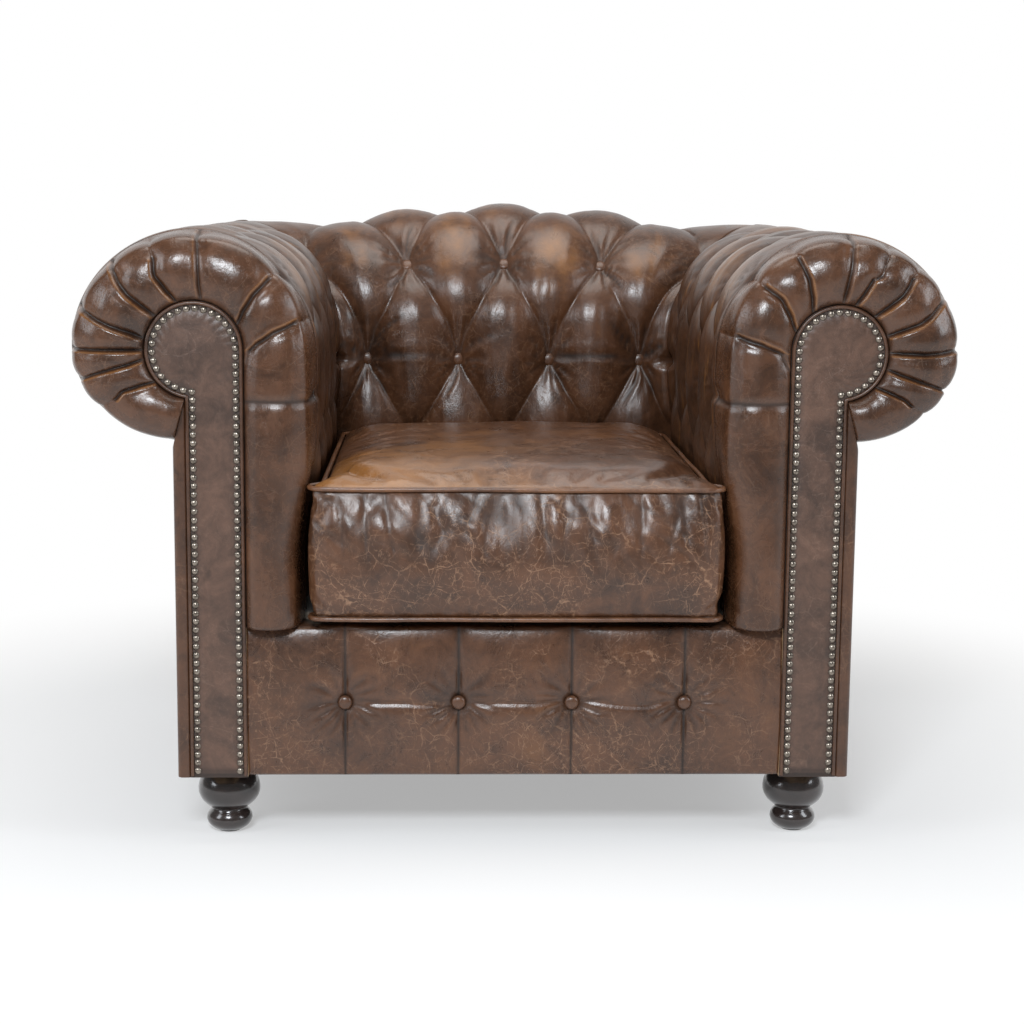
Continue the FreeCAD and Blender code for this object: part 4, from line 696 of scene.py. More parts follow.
def arm_corner(side, shares, rows, plain=None):
    reach, turn, height, wear, crease_shade = corner_surface(0, -2, 11.0 + side, shares, rows, plain)
    points = [side * (ROLL_X + reach * np.cos(turn)), ROLL_Y + reach * np.sin(turn), height]
    return np.stack(points, -1), wear, crease_shade


def back_across(column, station, offset):
    pitch = (HALF_INSIDE + sizes().tuft_depth) / 4
    third = 3 * pitch * (1 + 0.16 * ease(station - 1))
    mitre = HALF_INSIDE + np.minimum(offset, ROLL_INNER)
    reach = np.abs(column)
    where = np.where(reach <= 3, third * reach / 3, third + (mitre - third) * (reach - 3))
    return np.copysign(where, column)


def back_lift(across, station, offset):
    reach = HALF_INSIDE + np.minimum(offset, ROLL_INNER)
    share = np.cos(PI / 2 * np.minimum(np.abs(across) / reach, 1)) ** 2
    weight = np.where(station <= 2, ease((station - 1.25) / 0.75), 1 - ease((station - 2) / 1.6))
    return sizes().back_rise * share * weight


def back_surface(columns, rows, plain=None):
    column, row = np.meshgrid(columns, rows)
    station = station_of(row)
    depth, wear, crease_shade = relief(column, row, 4 - np.abs(column), 3.0, plain, BACK_FOLDS)
    offset, height = profile(station, depth)
    across = back_across(column, station, offset)
    lift = back_lift(across, station, offset) if plain is None else 0.0
    return np.stack([across, CREST_Y + offset, height + lift], -1), wear, crease_shade


def back_corner(side, shares, rows, plain=None):
    reach, turn, height, wear, crease_shade = corner_surface(4, 2, 3.0, shares, rows, plain)
    points = [side * (ROLL_X + reach * np.sin(turn)), ROLL_Y + reach * np.cos(turn), height]
    return np.stack(points, -1), wear, crease_shade


def line_cover(cover, surface, across, rows, sides):
    """A buttoned face with its plain lining behind it, and the named sides closed."""
    points, wear, crease_shade = surface(across, rows)
    inner = surface(across[::STEP], rows[::STEP], LINING)[0]
    cover.shell(points, inner, STEP, wear, crease_shade, sides)


def close_mitre(cover, surface, column):
    """Close the face and the lining along the mitre, below the rows where the corner starts."""
    rows = TUFT_ROWS[:len(TUFT_ROWS) - len(CORNER_ROWS) + 1]
    line = surface(np.array([column]), rows)[0][:, 0]
    lining = surface(np.array([column]), rows[::STEP], LINING)[0][:, 0]
    first, second = cover.add(line), cover.add(lining)
    for number in range(len(lining) - 1):
        span = range(first + number * STEP, first + (number + 1) * STEP + 1)
        cover.faces.append((*span, second + number + 1, second + number))


# Facing outline, round head and stem, as seen from the front on the right-hand side
def facing_path(inset, lengths=(90, 96, 80)):
    """Points from the foot of the inner edge, over the head and down the outer edge."""
    head = HEAD_RADIUS - inset
    turn = PI + math.acos((STEM_STEP - inset) / head)
    low = BODY_BOTTOM + inset
    points = [(STEM_INNER + inset, low + (ROLL_Z - low) * t) for t in np.linspace(0, 1, lengths[0])[:-1]]
    for angle in np.linspace(0, turn, lengths[1])[:-1]:
        points.append((ROLL_X - head * math.cos(angle), ROLL_Z + head * math.sin(angle)))
    end = ROLL_Z + head * math.sin(turn)
    points += [(STEM_OUTER - inset, end + (low - end) * t) for t in np.linspace(0, 1, lengths[2])]
    return points


def evenly(points, pitch):
    """Places at an even pitch along a line of points."""
    points = np.array(points)
    run = np.concatenate([[0], np.cumsum(np.hypot(*np.diff(points, axis=0).T))])
    count = int(round(run[-1] / pitch))
    where = np.linspace(0, run[-1], count + 1)
    return np.stack([np.interp(where, run, points[:, 0]), np.interp(where, run, points[:, 1])], -1)


# Border: its section from the facing's edge to the seam, as shares outward and forward
BORDER_SECTION = (
    (0.0, -0.02), (0.06, 0.42), (0.16, 0.77), (0.31, 0.96), (0.46, 1.0), (0.62, 0.84), (0.76, 0.45),
    (0.87, 0.0), (0.95, -0.42), (1.0, -1.0),
)
# Pleats of each border: station at the facing, on the way and at the end, depth in mm and
# share of the way to the rim
PLEATS = {
    -1: (
        (0.93, 1.14, 1.17, 5.5, 0.80), (1.33, 1.47, 1.48, 6.0, 0.78), (1.89, 1.95, 1.98, 3.0, 1.0),
        (2.20, 2.28, 2.24, 6.5, 0.66), (2.53, 2.53, 2.47, 6.5, 0.97), (2.85, 2.81, 2.76, 6.0, 1.0),
        (3.00, 3.00, 3.00, 5.5, 1.0), (3.13, 3.20, 3.24, 4.0, 0.95), (3.50, 3.44, 3.48, 6.5, 0.60),
    ),
    1: (
        (0.92, 1.07, 1.10, 5.5, 0.80), (1.27, 1.46, 1.45, 6.0, 0.74), (1.60, 1.72, 1.72, 5.0, 0.80),
        (2.01, 2.05, 2.06, 3.0, 1.0), (2.17, 2.23, 2.27, 5.0, 0.48), (2.46, 2.49, 2.46, 6.5, 0.72),
        (2.76, 2.75, 2.67, 6.5, 0.98), (2.98, 3.00, 2.97, 6.0, 1.0), (3.22, 3.28, 3.30, 5.0, 0.95),
        (3.53, 3.50, 3.52, 6.5, 0.58),
    ),
}


def section_line(count):
    """Smooth places along the border's section, as shares outward and forward."""
    knots = np.array(BORDER_SECTION)
    steps = np.hypot(np.diff(knots[:, 0]) * BORDER_WIDE, np.diff(knots[:, 1]) * 0.03)
    run = np.concatenate([[0], np.cumsum(steps)])
    run /= run[-1]
    slopes = np.zeros_like(knots)
    for number in range(len(knots)):
        low, high = max(number - 1, 0), min(number + 1, len(knots) - 1)
        slopes[number] = (knots[high] - knots[low]) / (run[high] - run[low])
    places = []
    for t in np.linspace(0, 1, count):
        number = min(int(np.searchsorted(run, t, "right")) - 1, len(knots) - 2)
        span = run[number + 1] - run[number]
        u = (t - run[number]) / span
        a = 2 * u ** 3 - 3 * u ** 2 + 1
        b = u ** 3 - 2 * u ** 2 + u
        c = -2 * u ** 3 + 3 * u ** 2
        d = u ** 3 - u ** 2
        places.append(
            a * knots[number] + b * span * slopes[number]
            + c * knots[number + 1] + d * span * slopes[number + 1])
    return np.array(places)


def facing_edge(station):
    """Edge of the facing that a station of the border starts from."""
    climb = DECK_Z + (ROLL_Z - DECK_Z) * station
    turn = np.where(station <= 3, PI / 2 * (station - 1), PI + (station - 3) * HEAD_END)
    across = np.where(station <= 1, STEM_INNER, ROLL_X - HEAD_RADIUS * np.cos(turn))
    height = np.where(station <= 1, climb, ROLL_Z + HEAD_RADIUS * np.sin(turn))
    return across, height


def border_surface(side, seed):
    first = (FRONT_TOP + 0.0005 - DECK_Z) / (ROLL_Z - DECK_Z)
    stations = np.concatenate([np.linspace(first, 1, 90)[:-1], np.linspace(1, 4, 400)])
    line = section_line(40)
    station, share = np.meshgrid(stations, line[:, 0], indexing="ij")
    forward = np.broadcast_to(line[:, 1], station.shape)
    edge_x, edge_z = facing_edge(station)
    offset, rim_z = profile(station, 0.0)
    column = np.full(station.shape, 8.0)
    depth = tufting(column, np.maximum(row_of(station), 0), np.zeros(station.shape), 11.0 + side)[0]
    seam_offset, seam_z = profile(station, depth * 0.4 + 0.0020)
    ends = ease((share - 0.90) / 0.10)
    rim_x = HALF_INSIDE + offset * (1 - ends) + seam_offset * ends
    rim_z = rim_z * (1 - ends) + seam_z * ends
    across, height = edge_x + (rim_x - edge_x) * share, edge_z + (rim_z - edge_z) * share
    along = FACING_Y - np.where(forward >= 0, BORDER_BULGE, 0.053) * forward
    radius = HEAD_RADIUS + BORDER_WIDE * share
    scale = np.where(station < 1, ROLL_Z - DECK_Z, radius * PI / 2)
    inward = np.zeros(station.shape)
    crease_shade = np.zeros(station.shape)
    wear = np.zeros(station.shape)
    lobe = np.ones(station.shape)
    bends = []
    for start, middle, end, deep, reach in PLEATS[side]:
        way = [0.0, 0.2, 0.45, max(reach, 0.46)]
        bends.append(np.interp(line[:, 0], way, [start, start * 0.35 + middle * 0.65, middle, end]))
    bends = np.array([np.full(len(line), 0.1)] + bends + [np.full(len(line), 4.03)])
    for number in range(len(line)):
        places = bends[:, number]
        which = np.clip(np.searchsorted(places, stations, "right"), 1, len(places) - 1)
        part = (stations - places[which - 1]) / (places[which] - places[which - 1])
        part = np.where(which == 1, np.maximum(part, 0.5), part)
        lobe[:, number] = np.sin(PI * np.clip(part, 0, 1)) ** 0.55
    inward += 0.0068 * (1 - lobe) * ease(share / 0.16) * (1 - 0.35 * ease((share - 0.75) / 0.2))
    for number, (start, middle, end, deep, reach) in enumerate(PLEATS[side], start=1):
        gap = (station - bends[number]) * scale
        strong = ease(share / 0.05) * (1 - ease((share - reach) / 0.07)) * deep * 0.001
        if reach > 0.9:
            strong = np.maximum(strong, 0.0016 * ease((share - 0.8) / 0.1))
        inward += 0.62 * strong * np.exp(-np.abs(gap) / 0.0024)
        inward -= 0.30 * strong * np.exp(-((gap - 0.0056) / 0.0040) ** 2)
        full = np.clip(strong / 0.004, 0, 1)
        # painted shade in each pleat
        crease_shade = np.maximum(crease_shade, np.exp(-(gap / 0.0019) ** 2) * full)
        wear = np.maximum(wear, 0.85 * np.exp(-((gap - 0.0045) / 0.0022) ** 2) * full)
        for shift, size in ((0.06, 0.0010), (-0.07, 0.0008)):
            side_gap = (station - bends[number] - shift * (1 - 0.5 * share)) * scale
            away = np.exp(-((share - reach * 0.8) / 0.16) ** 2)
            inward += size * away * np.exp(-(side_gap / 0.0030) ** 2)
    level = (ROLL_Z - DECK_Z) * (station - (0.545 - DECK_Z) / (ROLL_Z - DECK_Z))
    inward += 0.0048 * np.exp(-np.abs(level) / 0.0030) * (station < 1.2) * ease(share / 0.05)
    # painted shade along the low horizontal pleat
    crease_shade = np.maximum(crease_shade, np.exp(-(level / 0.0022) ** 2) * (station < 1.2))
    slack = field(station * 0.2, share * 0.09, 26.0, 22.0, seed)
    inward += 0.0013 * slack * ease(share / 0.2) * ease((1 - share) / 0.15)
    length = np.maximum(np.hypot(rim_x - edge_x, rim_z - edge_z), 0.001)
    radial = ease((share - 0.62) / 0.33) * ease((1.0 - share) / 0.02)
    ahead = 1 - ease((share - 0.70) / 0.28)
    along = along + inward * ahead
    across = across - inward * radial * (rim_x - edge_x) / length
    height = height - inward * radial * (rim_z - edge_z) / length
    # painted shade in a band where the border tucks under the facing
    edge_band = 1 - ease(share / 0.05)
    crease_shade = np.maximum(crease_shade, edge_band * 0.8)
    wear = np.maximum(wear, 0.55 * ease((share - 0.45) / 0.3) * (0.5 + 0.5 * slack))
    along[:, -1] = SEAM_Y
    points = np.stack([side * across, along, height], -1)
    return points, np.clip(wear, 0, 1), np.clip(crease_shade, 0, 1)


# Operators, one for each piece or group of like pieces
class ARMCHAIR_OT_back(bpy.types.Operator):
    """Button the inside of the back"""
    bl_idname = "armchair.back"
    bl_label = "Buttoned back"

    def execute(self, context):
        cover = Mesh()
        columns = np.linspace(-4, 4, 8 * FINE + 1)
        line_cover(cover, back_surface, columns, TUFT_ROWS, ("first_row", "last_row"))
        for side in (-1, 1):
            corner = partial(back_corner, side)
            line_cover(cover, corner, CORNER_SHARES, CORNER_ROWS, ("last_row", "last_column"))
            close_mitre(cover, back_surface, 4.0 * side)
        piece = cover.build(
            "back_tufting", leather("leather_back", 1.0, 1.0, 0.35), "chair", "tufted_leather",
            ("back_inside_cover",))
        return {"FINISHED"}


class ARMCHAIR_OT_arms(bpy.types.Operator):
    """Button the insides of the arms and cover their rolls"""
    bl_idname = "armchair.arms"
    bl_label = "Buttoned arms"

    def execute(self, context):
        columns = np.linspace(0, 8, 8 * FINE + 1)
        for name, side in SIDES:
            cover = Mesh()
            surface = partial(arm_surface, side)
            line_cover(cover, surface, columns, TUFT_ROWS, ("first_row", "last_row", "last_column"))
            corner = partial(arm_corner, side)
            line_cover(cover, corner, CORNER_SHARES, CORNER_ROWS, ("last_row", "last_column"))
            close_mitre(cover, surface, 0.0)
            piece = cover.build(
                name + "_arm_tufting", leather("leather_arms", 0.84, 0.85, 0.25, streak=0.55), "chair",
                "tufted_leather", (name + "_arm_inside_cover",))
        return {"FINISHED"}


class ARMCHAIR_OT_borders(bpy.types.Operator):
    """Pleat the borders between the facings and the rolls"""
    bl_idname = "armchair.borders"
    bl_label = "Pleated borders"

    def execute(self, context):
        for name, side, seed in (("left", -1, 21.0), ("right", 1, 34.0)):
            points, wear, crease_shade = border_surface(side, seed)
            rows = len(points)
            back = np.zeros((rows, 2, 3))
            back[:, 0] = points[:, -1]
            back[:, 0, 1] = SEAM_Y
            back[:, 1] = points[:, 0]
            back[:, 1, 1] = SEAM_Y
            middle = back.mean(axis=1, keepdims=True)
            ring = np.concatenate([points, middle, back[:, 1:]], axis=1)
            zero = np.zeros((rows, 2))
            border = Mesh()
            border.closed(ring, np.concatenate([wear, zero], 1), np.concatenate([crease_shade, zero], 1))
            piece = border.build(
                name + "_pleated_border", leather("leather_borders", 0.98, 0.60, 0.25, 0.32), "chair",
                "tufted_leather", (name + "_front_border",))
        return {"FINISHED"}


class ARMCHAIR_OT_facings(bpy.types.Operator):
    """Lay the facing panels with the welt round them"""
    bl_idname = "armchair.facings"
    bl_label = "Facings"

    def execute(self, context):
        for name, side in SIDES:
            panel = Mesh()
            # painted shade: the rings nearest the edge, beside the welt and the nails, are darkened, fading
            # to none inwards
            rings, shades = [[(x, FACING_Y + 0.003, z) for x, z in facing_path(0.0001)]], [0.0]
            for inset, rise, shade in (
                (0.0001, 0.0, 0.8), (0.001, 0.0004, 0.8), (0.004, 0.0004, 0.9), (0.0065, 0.0006, 0.55),
                (0.0088, 0.0003, 0.6), (0.0112, 0.0009, 0.35), (0.014, 0.0016, 0.1), (0.018, 0.0021, 0.0),
                (0.0225, 0.0024, 0.0),
            ):
                path = facing_path(inset)
                wave = field(*np.array(path).T, 42.0, 30.0, 5.0 + side)
                ring = []
                for number, (x, z) in enumerate(path):
                    pucker = 0.0003 * math.cos(number * 1.37) * (0.007 < inset < 0.02)
                    ring.append((x, FACING_Y - rise - pucker - 0.0004 * wave[number] * (inset > 0.01), z))
                rings.append(ring)
                shades.append(shade)
            points = np.array(rings)
            points[..., 0] *= side
            panel.closed(points, 0.0, np.repeat(np.array(shades)[:, None], points.shape[1], 1))
            piece = panel.build(
                name + "_facing", leather("leather_facings", 1.45, 0.20, 0.14, 0.44, 0.20, 0.30), "chair",
                "panel_leather", (name + "_facing_panel",))
            sharp_edges(piece, 60)
        welt = Mesh()
        for side in (-1, 1):
            path = [(side * x, FACING_Y - 0.0012, z) for x, z in facing_path(0.0024, (200, 180, 170))]
            # a little painted shade over the whole welt
            welt.tube(path, sizes().welt_radius, 10, crease_shade=0.1, wear=0.25)
        welt.build(
            "facing_welts_round", leather("leather_welts", 1.0, 0.5, 0.2, 0.40, 0.2), "chair",
            "panel_leather", ("facing_welts",))
        return {"FINISHED"}


class ARMCHAIR_OT_nails(bpy.types.Operator):
    """Set the close nails along the facings"""
    bl_idname = "armchair.nails"
    bl_label = "Nails"

    def execute(self, context):
        noise.seed_set(7)
        nails = Mesh()
        radius = sizes().nail_radius
        rings = (
            (radius * 0.96, 0.0010), (radius * 1.0, 0.0), (radius * 0.985, -0.0006),
            (radius * 0.90, -0.0016), (radius * 0.74, -0.0025), (radius * 0.50, -0.0032),
            (radius * 0.24, -0.0036), (radius * 0.06, -0.0037),
        )
        # painted shade at the foot of each nail, where it meets the leather
        shade = (1.0, 1.0, 0.75, 0.25, 0.0, 0.0, 0.0, 0.0)
        for side in (-1, 1):
            places = evenly(facing_path(sizes().nail_inset), sizes().nail_pitch)
            for number, (across, height) in enumerate(places):
                tilt = noise.noise_vector((number * 1.7, side * 3.1, 0.5)) * 0.10
                normal = Vector((tilt.x, 1.0, tilt.z))
                jitter = noise.noise_vector((number * 2.3, side * 5.1, 2.5)) * 0.0004
                centre = (side * across + jitter.x, FACING_Y, height + jitter.z)
                nails.lathe(rings, centre, 14, normal, crease_shade=shade)
        nails.build(
            "facing_nails_domed", metal("nail_metal", looks().nail_colour, 0.22), "chair", "nail_metal",
            ("facing_nails",))
        return {"FINISHED"}


def button_rings(radius, thick):
    return (
        (radius * 0.80, -0.002), (radius * 0.93, 0.0006), (radius * 1.0, thick * 0.28),
        (radius * 0.97, thick * 0.50), (radius * 0.86, thick * 0.72), (radius * 0.66, thick * 0.88),
        (radius * 0.40, thick * 0.97), (radius * 0.12, thick),
    )


# painted shade at the foot of each button, where it sinks into the leather
BUTTON_SHADE = (1.0, 0.9, 0.35, 0.08, 0.0, 0.0, 0.0, 0.0)


def crest_normal(station, depth):
    one, two = profile(station - 0.02, depth), profile(station + 0.02, depth)
    run = Vector((float(two[0] - one[0]), float(two[1] - one[1]))).normalized()
    return -run.y, run.x


class ARMCHAIR_OT_buttons(bpy.types.Operator):
    """Sew in the covered buttons"""
    bl_idname = "armchair.buttons"
    bl_label = "Buttons"

    def execute(self, context):
        tuft = sizes().tuft_depth
        material = leather("leather_buttons", 1.15, 0.35, 0.15, 0.40, 0.15)
        rings = button_rings(sizes().button_radius, 0.0075)
        stations = button_stations()
        back, arms = Mesh(), Mesh()
        for row in (1, 2, 3, 4):
            station = np.array(stations[row])
            offset, height = profile(station, tuft)
            ahead, up = crest_normal(station, tuft)
            for column in range(-3, 4):
                if (column + row) % 2 == 1:
                    across = float(back_across(np.array(float(column)), station, offset))
                    lift = float(back_lift(np.array(across), station, offset))
                    sway = noise.noise(Vector((column, row, 1.5))) * 0.16
                    place = (across, CREST_Y + float(offset), float(height) + lift)
                    back.lathe(rings, place, 22, (sway, ahead, up), 0.012, 0.35, BUTTON_SHADE)
            for column in range(1, 8):
                if (column + row) % 2 == 1:
                    along = float(arm_along(np.array(float(column)), station, offset))
                    for side in (-1, 1):
                        place = (side * (HALF_INSIDE + float(offset)), along, float(height))
                        arms.lathe(rings, place, 22, (side * ahead, 0.0, up), 0.012, 0.2, BUTTON_SHADE)
        back.build("back_covered_buttons", material, "chair", "button_leather", ("back_buttons",))
        arms.build("arm_covered_buttons", material, "chair", "button_leather", ("arm_buttons",))
        front = Mesh()
        rings = button_rings(sizes().front_button_radius, 0.0070)
        for across in FRONT_BUTTON_PLACES:
            place = (across, FRONT_BUTTON_Y, FRONT_BUTTON_Z)
            front.lathe(rings, place, 24, (0.0, -1.0, 0.02), 0.010, 0.5, BUTTON_SHADE)
        front.build("front_covered_buttons", material, "chair", "button_leather", ("front_rail_buttons",))
        return {"FINISHED"}


FRONT_BUTTON_PLACES = [FRONT_BUTTON_PITCH * (n - (FRONT_BUTTONS - 1) / 2) for n in range(FRONT_BUTTONS)]


def front_surface():
    """Cover of the front rail: upright pleats through the buttons and soft lobes between them."""
    edges = np.array([-STEM_INNER, *FRONT_BUTTON_PLACES, STEM_INNER])
    fields = [np.linspace(a, b, 49)[:-1] for a, b in zip(edges, edges[1:])]
    across_line = np.concatenate(fields + [edges[-1:]])
    height_line = np.linspace(BODY_BOTTOM, FRONT_TOP, 97)
    across, height = np.meshgrid(across_line, height_line)
    number = np.clip(np.searchsorted(edges, across, "right") - 1, 0, 4)
    share = np.clip((across - edges[number]) / (edges[number + 1] - edges[number]), 0, 1)
    lobe = np.sin(PI * share) ** 0.5
    lobe = np.where(number == 0, np.maximum(lobe, 0.6 * (1 - share)), lobe)
    lobe = np.where(number == 4, np.maximum(lobe, 0.6 * share), lobe)
    rise = (height - BODY_BOTTOM) / (FRONT_TOP - BODY_BOTTOM)
    upright = np.sin(PI * np.clip(rise, 0, 1)) ** 0.40
    drop = height - FRONT_BUTTON_Z
    between = np.sin(PI * share) ** 0.8
    away = np.min([np.hypot(across - e, drop) for e in edges[1:-1]], axis=0)
    angle = np.zeros(across.shape)
    gap = np.full(across.shape, 9.0)
    for e in edges[1:-1]:
        here = np.abs(across - e)
        angle = np.where(here < gap, np.arctan2(drop, across - e), angle)
        gap = np.minimum(gap, here)
    bulge = 0.015 * (0.35 + 0.65 * lobe) * upright
    soft = field(across, height, 20.0, 26.0, 9.0)
    bulge -= 0.0030 * np.exp(-(drop / 0.010) ** 2) * (0.65 + 0.35 * soft) * (number > 0) * (number < 4)
    bulge -= 0.0022 * np.exp(-((drop - 0.004 * soft) / 0.0030) ** 2) * between * (number > 0) * (number < 4)
    bulge -= 0.0050 * np.exp(-(away / 0.016) ** 2)
    ring = np.exp(-((away - 0.026) / 0.016) ** 2)
    spokes = (1 - np.abs(np.cos(angle * 7 + 1.7 * soft + across * 31))) ** 1.5
    bulge -= 0.0019 * ring * spokes
    seam = np.exp(-np.abs(gap) / 0.0020)
    bulge -= 0.0026 * seam * upright
    bulge += 0.0008 * soft
    bulge = np.maximum(bulge, 0.0004)
    # painted shade in the upright seams, along the wrinkles round the buttons and close round each button
    crease_shade = np.clip(0.9 * np.exp(-(gap / 0.0016) ** 2) + 0.55 * ring * spokes, 0, 1)
    crease_shade = np.maximum(crease_shade, 0.75 * np.exp(-(away / 0.012) ** 2))
    wear = np.clip(0.30 + 0.35 * soft + 0.25 * lobe, 0, 1) * 0.75
    points = np.stack([across, FRONT_Y - bulge, height], -1)
    return points, wear, crease_shade


class ARMCHAIR_OT_front_rail(bpy.types.Operator):
    """Cover the front rail"""
    bl_idname = "armchair.front_rail"
    bl_label = "Front rail"

    def execute(self, context):
        points, wear, crease_shade = front_surface()
        cover = Mesh()
        columns = points.shape[1]
        top, inner_top, inner_low = (points[-1].copy() for _ in range(3))
        low = points[0].copy()
        top[:, 1] = SEAM_Y
        inner_top[:, 1], inner_top[:, 2] = SEAM_Y, FRONT_TOP - 0.0025
        inner_low[:, 1], inner_low[:, 2] = FRONT_BACK_Y, FRONT_TOP - 0.0025
        low[:, 1] = FRONT_BACK_Y
        ring = np.concatenate([points, [top, inner_top, inner_low, low]], axis=0)
        zero = np.zeros((4, columns))
        cover.grid(ring, np.concatenate([wear, zero]), np.concatenate([crease_shade, zero]), along=True)
        total = ring.shape[0]
        cover.cap([row * columns for row in range(total)])
        cover.cap([row * columns + columns - 1 for row in range(total)])
        piece = cover.build(
            "front_rail_tufting", leather("leather_front", 1.06, 0.35, 0.75, 0.35, 0.55), "chair",
            "tufted_leather", ("front_rail_cover",))
        return {"FINISHED"}


# Seat cushion
CUSHION_LOW, CUSHION_HIGH = 0.2833, 0.4433
CUSHION_FRONT, CUSHION_REAR = -0.4344, 0.134
CUSHION_WIDE, CUSHION_NARROW = 0.2465, 0.232


def cushion_loop(inset, draw, count=60):
    """The cushion's outline: wide at its front edge, narrower between the arms."""
    front, rear = CUSHION_FRONT + inset, CUSHION_REAR - inset
    radius = max(0.016 - inset * 0.5, 0.006)
    half = [(x, front) for x in np.linspace(0, CUSHION_WIDE - inset - radius, count)[:-1]]
    for turn in np.linspace(0, PI / 2, 10)[:-1]:
        across = CUSHION_WIDE - inset - radius + radius * math.sin(turn)
        half.append((across, front + radius - radius * math.cos(turn)))
    for y in np.linspace(front + radius, rear - radius, 2 * count)[:-1]:
        neck = float(ease((y - front - 0.022) / 0.022))
        wide = CUSHION_WIDE - inset - (CUSHION_WIDE - CUSHION_NARROW) * neck
        share = np.clip((y - front - 0.03) / (rear - front - 0.03), 0, 1)
        half.append((wide - draw * math.sin(PI * float(share)), y))
    narrow = CUSHION_NARROW - inset
    for turn in np.linspace(0, PI / 2, 10)[:-1]:
        half.append((narrow - radius + radius * math.cos(turn), rear - radius + radius * math.sin(turn)))
    half += [(x, rear) for x in np.linspace(narrow - radius, 0, count)]
    mirrored = [(-x, y) for x, y in half[1:-1]][::-1]
    return np.array(half + mirrored)


def cushion_rings():
    rings = []
    middle = (CUSHION_FRONT + CUSHION_REAR) / 2

    def level(inset, draw, height, shrink=1.0, rise=0.0):
        loop = cushion_loop(inset, draw)
        x, y = loop[:, 0] * shrink, middle + (loop[:, 1] - middle) * shrink
        swell = np.where((loop[:, 1] < CUSHION_FRONT + 0.02) & (np.abs(loop[:, 0]) < 0.225), -draw, 0.0)
        swell = swell * np.cos(PI / 2 * np.clip(np.abs(loop[:, 0]) / 0.235, 0, 1)) ** 0.5
        rings.append(np.stack([x, y + swell * 1.5, np.full(len(loop), height + rise)], -1))

    for shrink in (0.03, 0.25, 0.5, 0.75, 0.92, 0.985):
        level(0.002, 0.0, CUSHION_LOW, shrink)
    for share in np.linspace(0, 1, 21):
        pull = math.sin(PI * share) ** 0.75
        tuck = 0.0022 * (math.exp(-share / 0.03) + math.exp(-(1 - share) / 0.03))
        height = CUSHION_LOW + 0.0025 + (CUSHION_HIGH - 0.0025 - CUSHION_LOW) * share
        level(tuck - 0.0035 * pull * (share > 0), 0.0070 * pull, height)
    crown = sizes().cushion_crown
    for shrink in (
        0.985, 0.965, 0.94, 0.91, 0.87, 0.82, 0.76, 0.69, 0.61, 0.52, 0.42, 0.31, 0.2, 0.1, 0.03,
    ):
        level(0.001, 0.0, CUSHION_HIGH, shrink, crown * (1 - shrink ** 3.6) ** 0.62)
    return np.array(rings)


def puff(piece, limit):
    """Blow the cushion up a little as cloth and keep each point near where it was."""
    rest = np.zeros(len(piece.data.vertices) * 3)
    piece.data.vertices.foreach_get("co", rest)
    group = piece.vertex_groups.new(name="seams")
    edge = []
    for vertex in piece.data.vertices:
        x, y, z = vertex.co
        low = abs(z - CUSHION_LOW) < 0.006 or abs(z - CUSHION_HIGH) < 0.006
        rim = abs(x) > 0.222 or y < CUSHION_FRONT + 0.012 or y > CUSHION_REAR - 0.012
        if low and rim or z < CUSHION_LOW + 0.001:
            edge.append(vertex.index)
    group.add(edge, 1.0, "REPLACE")
    cloth = piece.modifiers.new("Cloth", "CLOTH")
    settings = cloth.settings
    settings.use_pressure = True
    settings.uniform_pressure_force = 4.0
    settings.effector_weights.gravity = 0.0
    settings.vertex_group_mass = "seams"
    settings.shrink_min = -0.035
    settings.tension_stiffness = 18.0
    settings.compression_stiffness = 18.0
    settings.shear_stiffness = 6.0
    settings.bending_stiffness = 0.6
    settings.quality = 6
    cloth.point_cache.frame_start, cloth.point_cache.frame_end = 1, 20
    scene = bpy.context.scene
    for number in range(1, 21):
        scene.frame_set(number)
    shaped = piece.evaluated_get(bpy.context.evaluated_depsgraph_get())
    moved = np.zeros(len(rest))
    shaped.data.vertices.foreach_get("co", moved)
    piece.modifiers.remove(cloth)
    piece.vertex_groups.clear()
    scene.frame_set(1)
    change = (moved - rest).reshape(-1, 3)
    length = np.linalg.norm(change, axis=1, keepdims=True)
    change *= np.minimum(1.0, limit / np.maximum(length, 1e-9))
    piece.data.vertices.foreach_set("co", (rest.reshape(-1, 3) + change).ravel())
    piece.data.update()


def piping_path(loop, height, push):
    """The cushion's outline moved outward a little, with a faint wave up and down."""
    points = []
    for number in range(0, len(loop), 2):
        x, y = loop[number]
        before, after = loop[number - 1], loop[(number + 1) % len(loop)]
        ahead = Vector((after[0] - before[0], after[1] - before[1])).normalized()
        wave = noise.noise(Vector((x * 9, y * 9, height * 7))) * 0.0012
        points.append((x + ahead.y * push, y - ahead.x * push, height + wave))
    return points


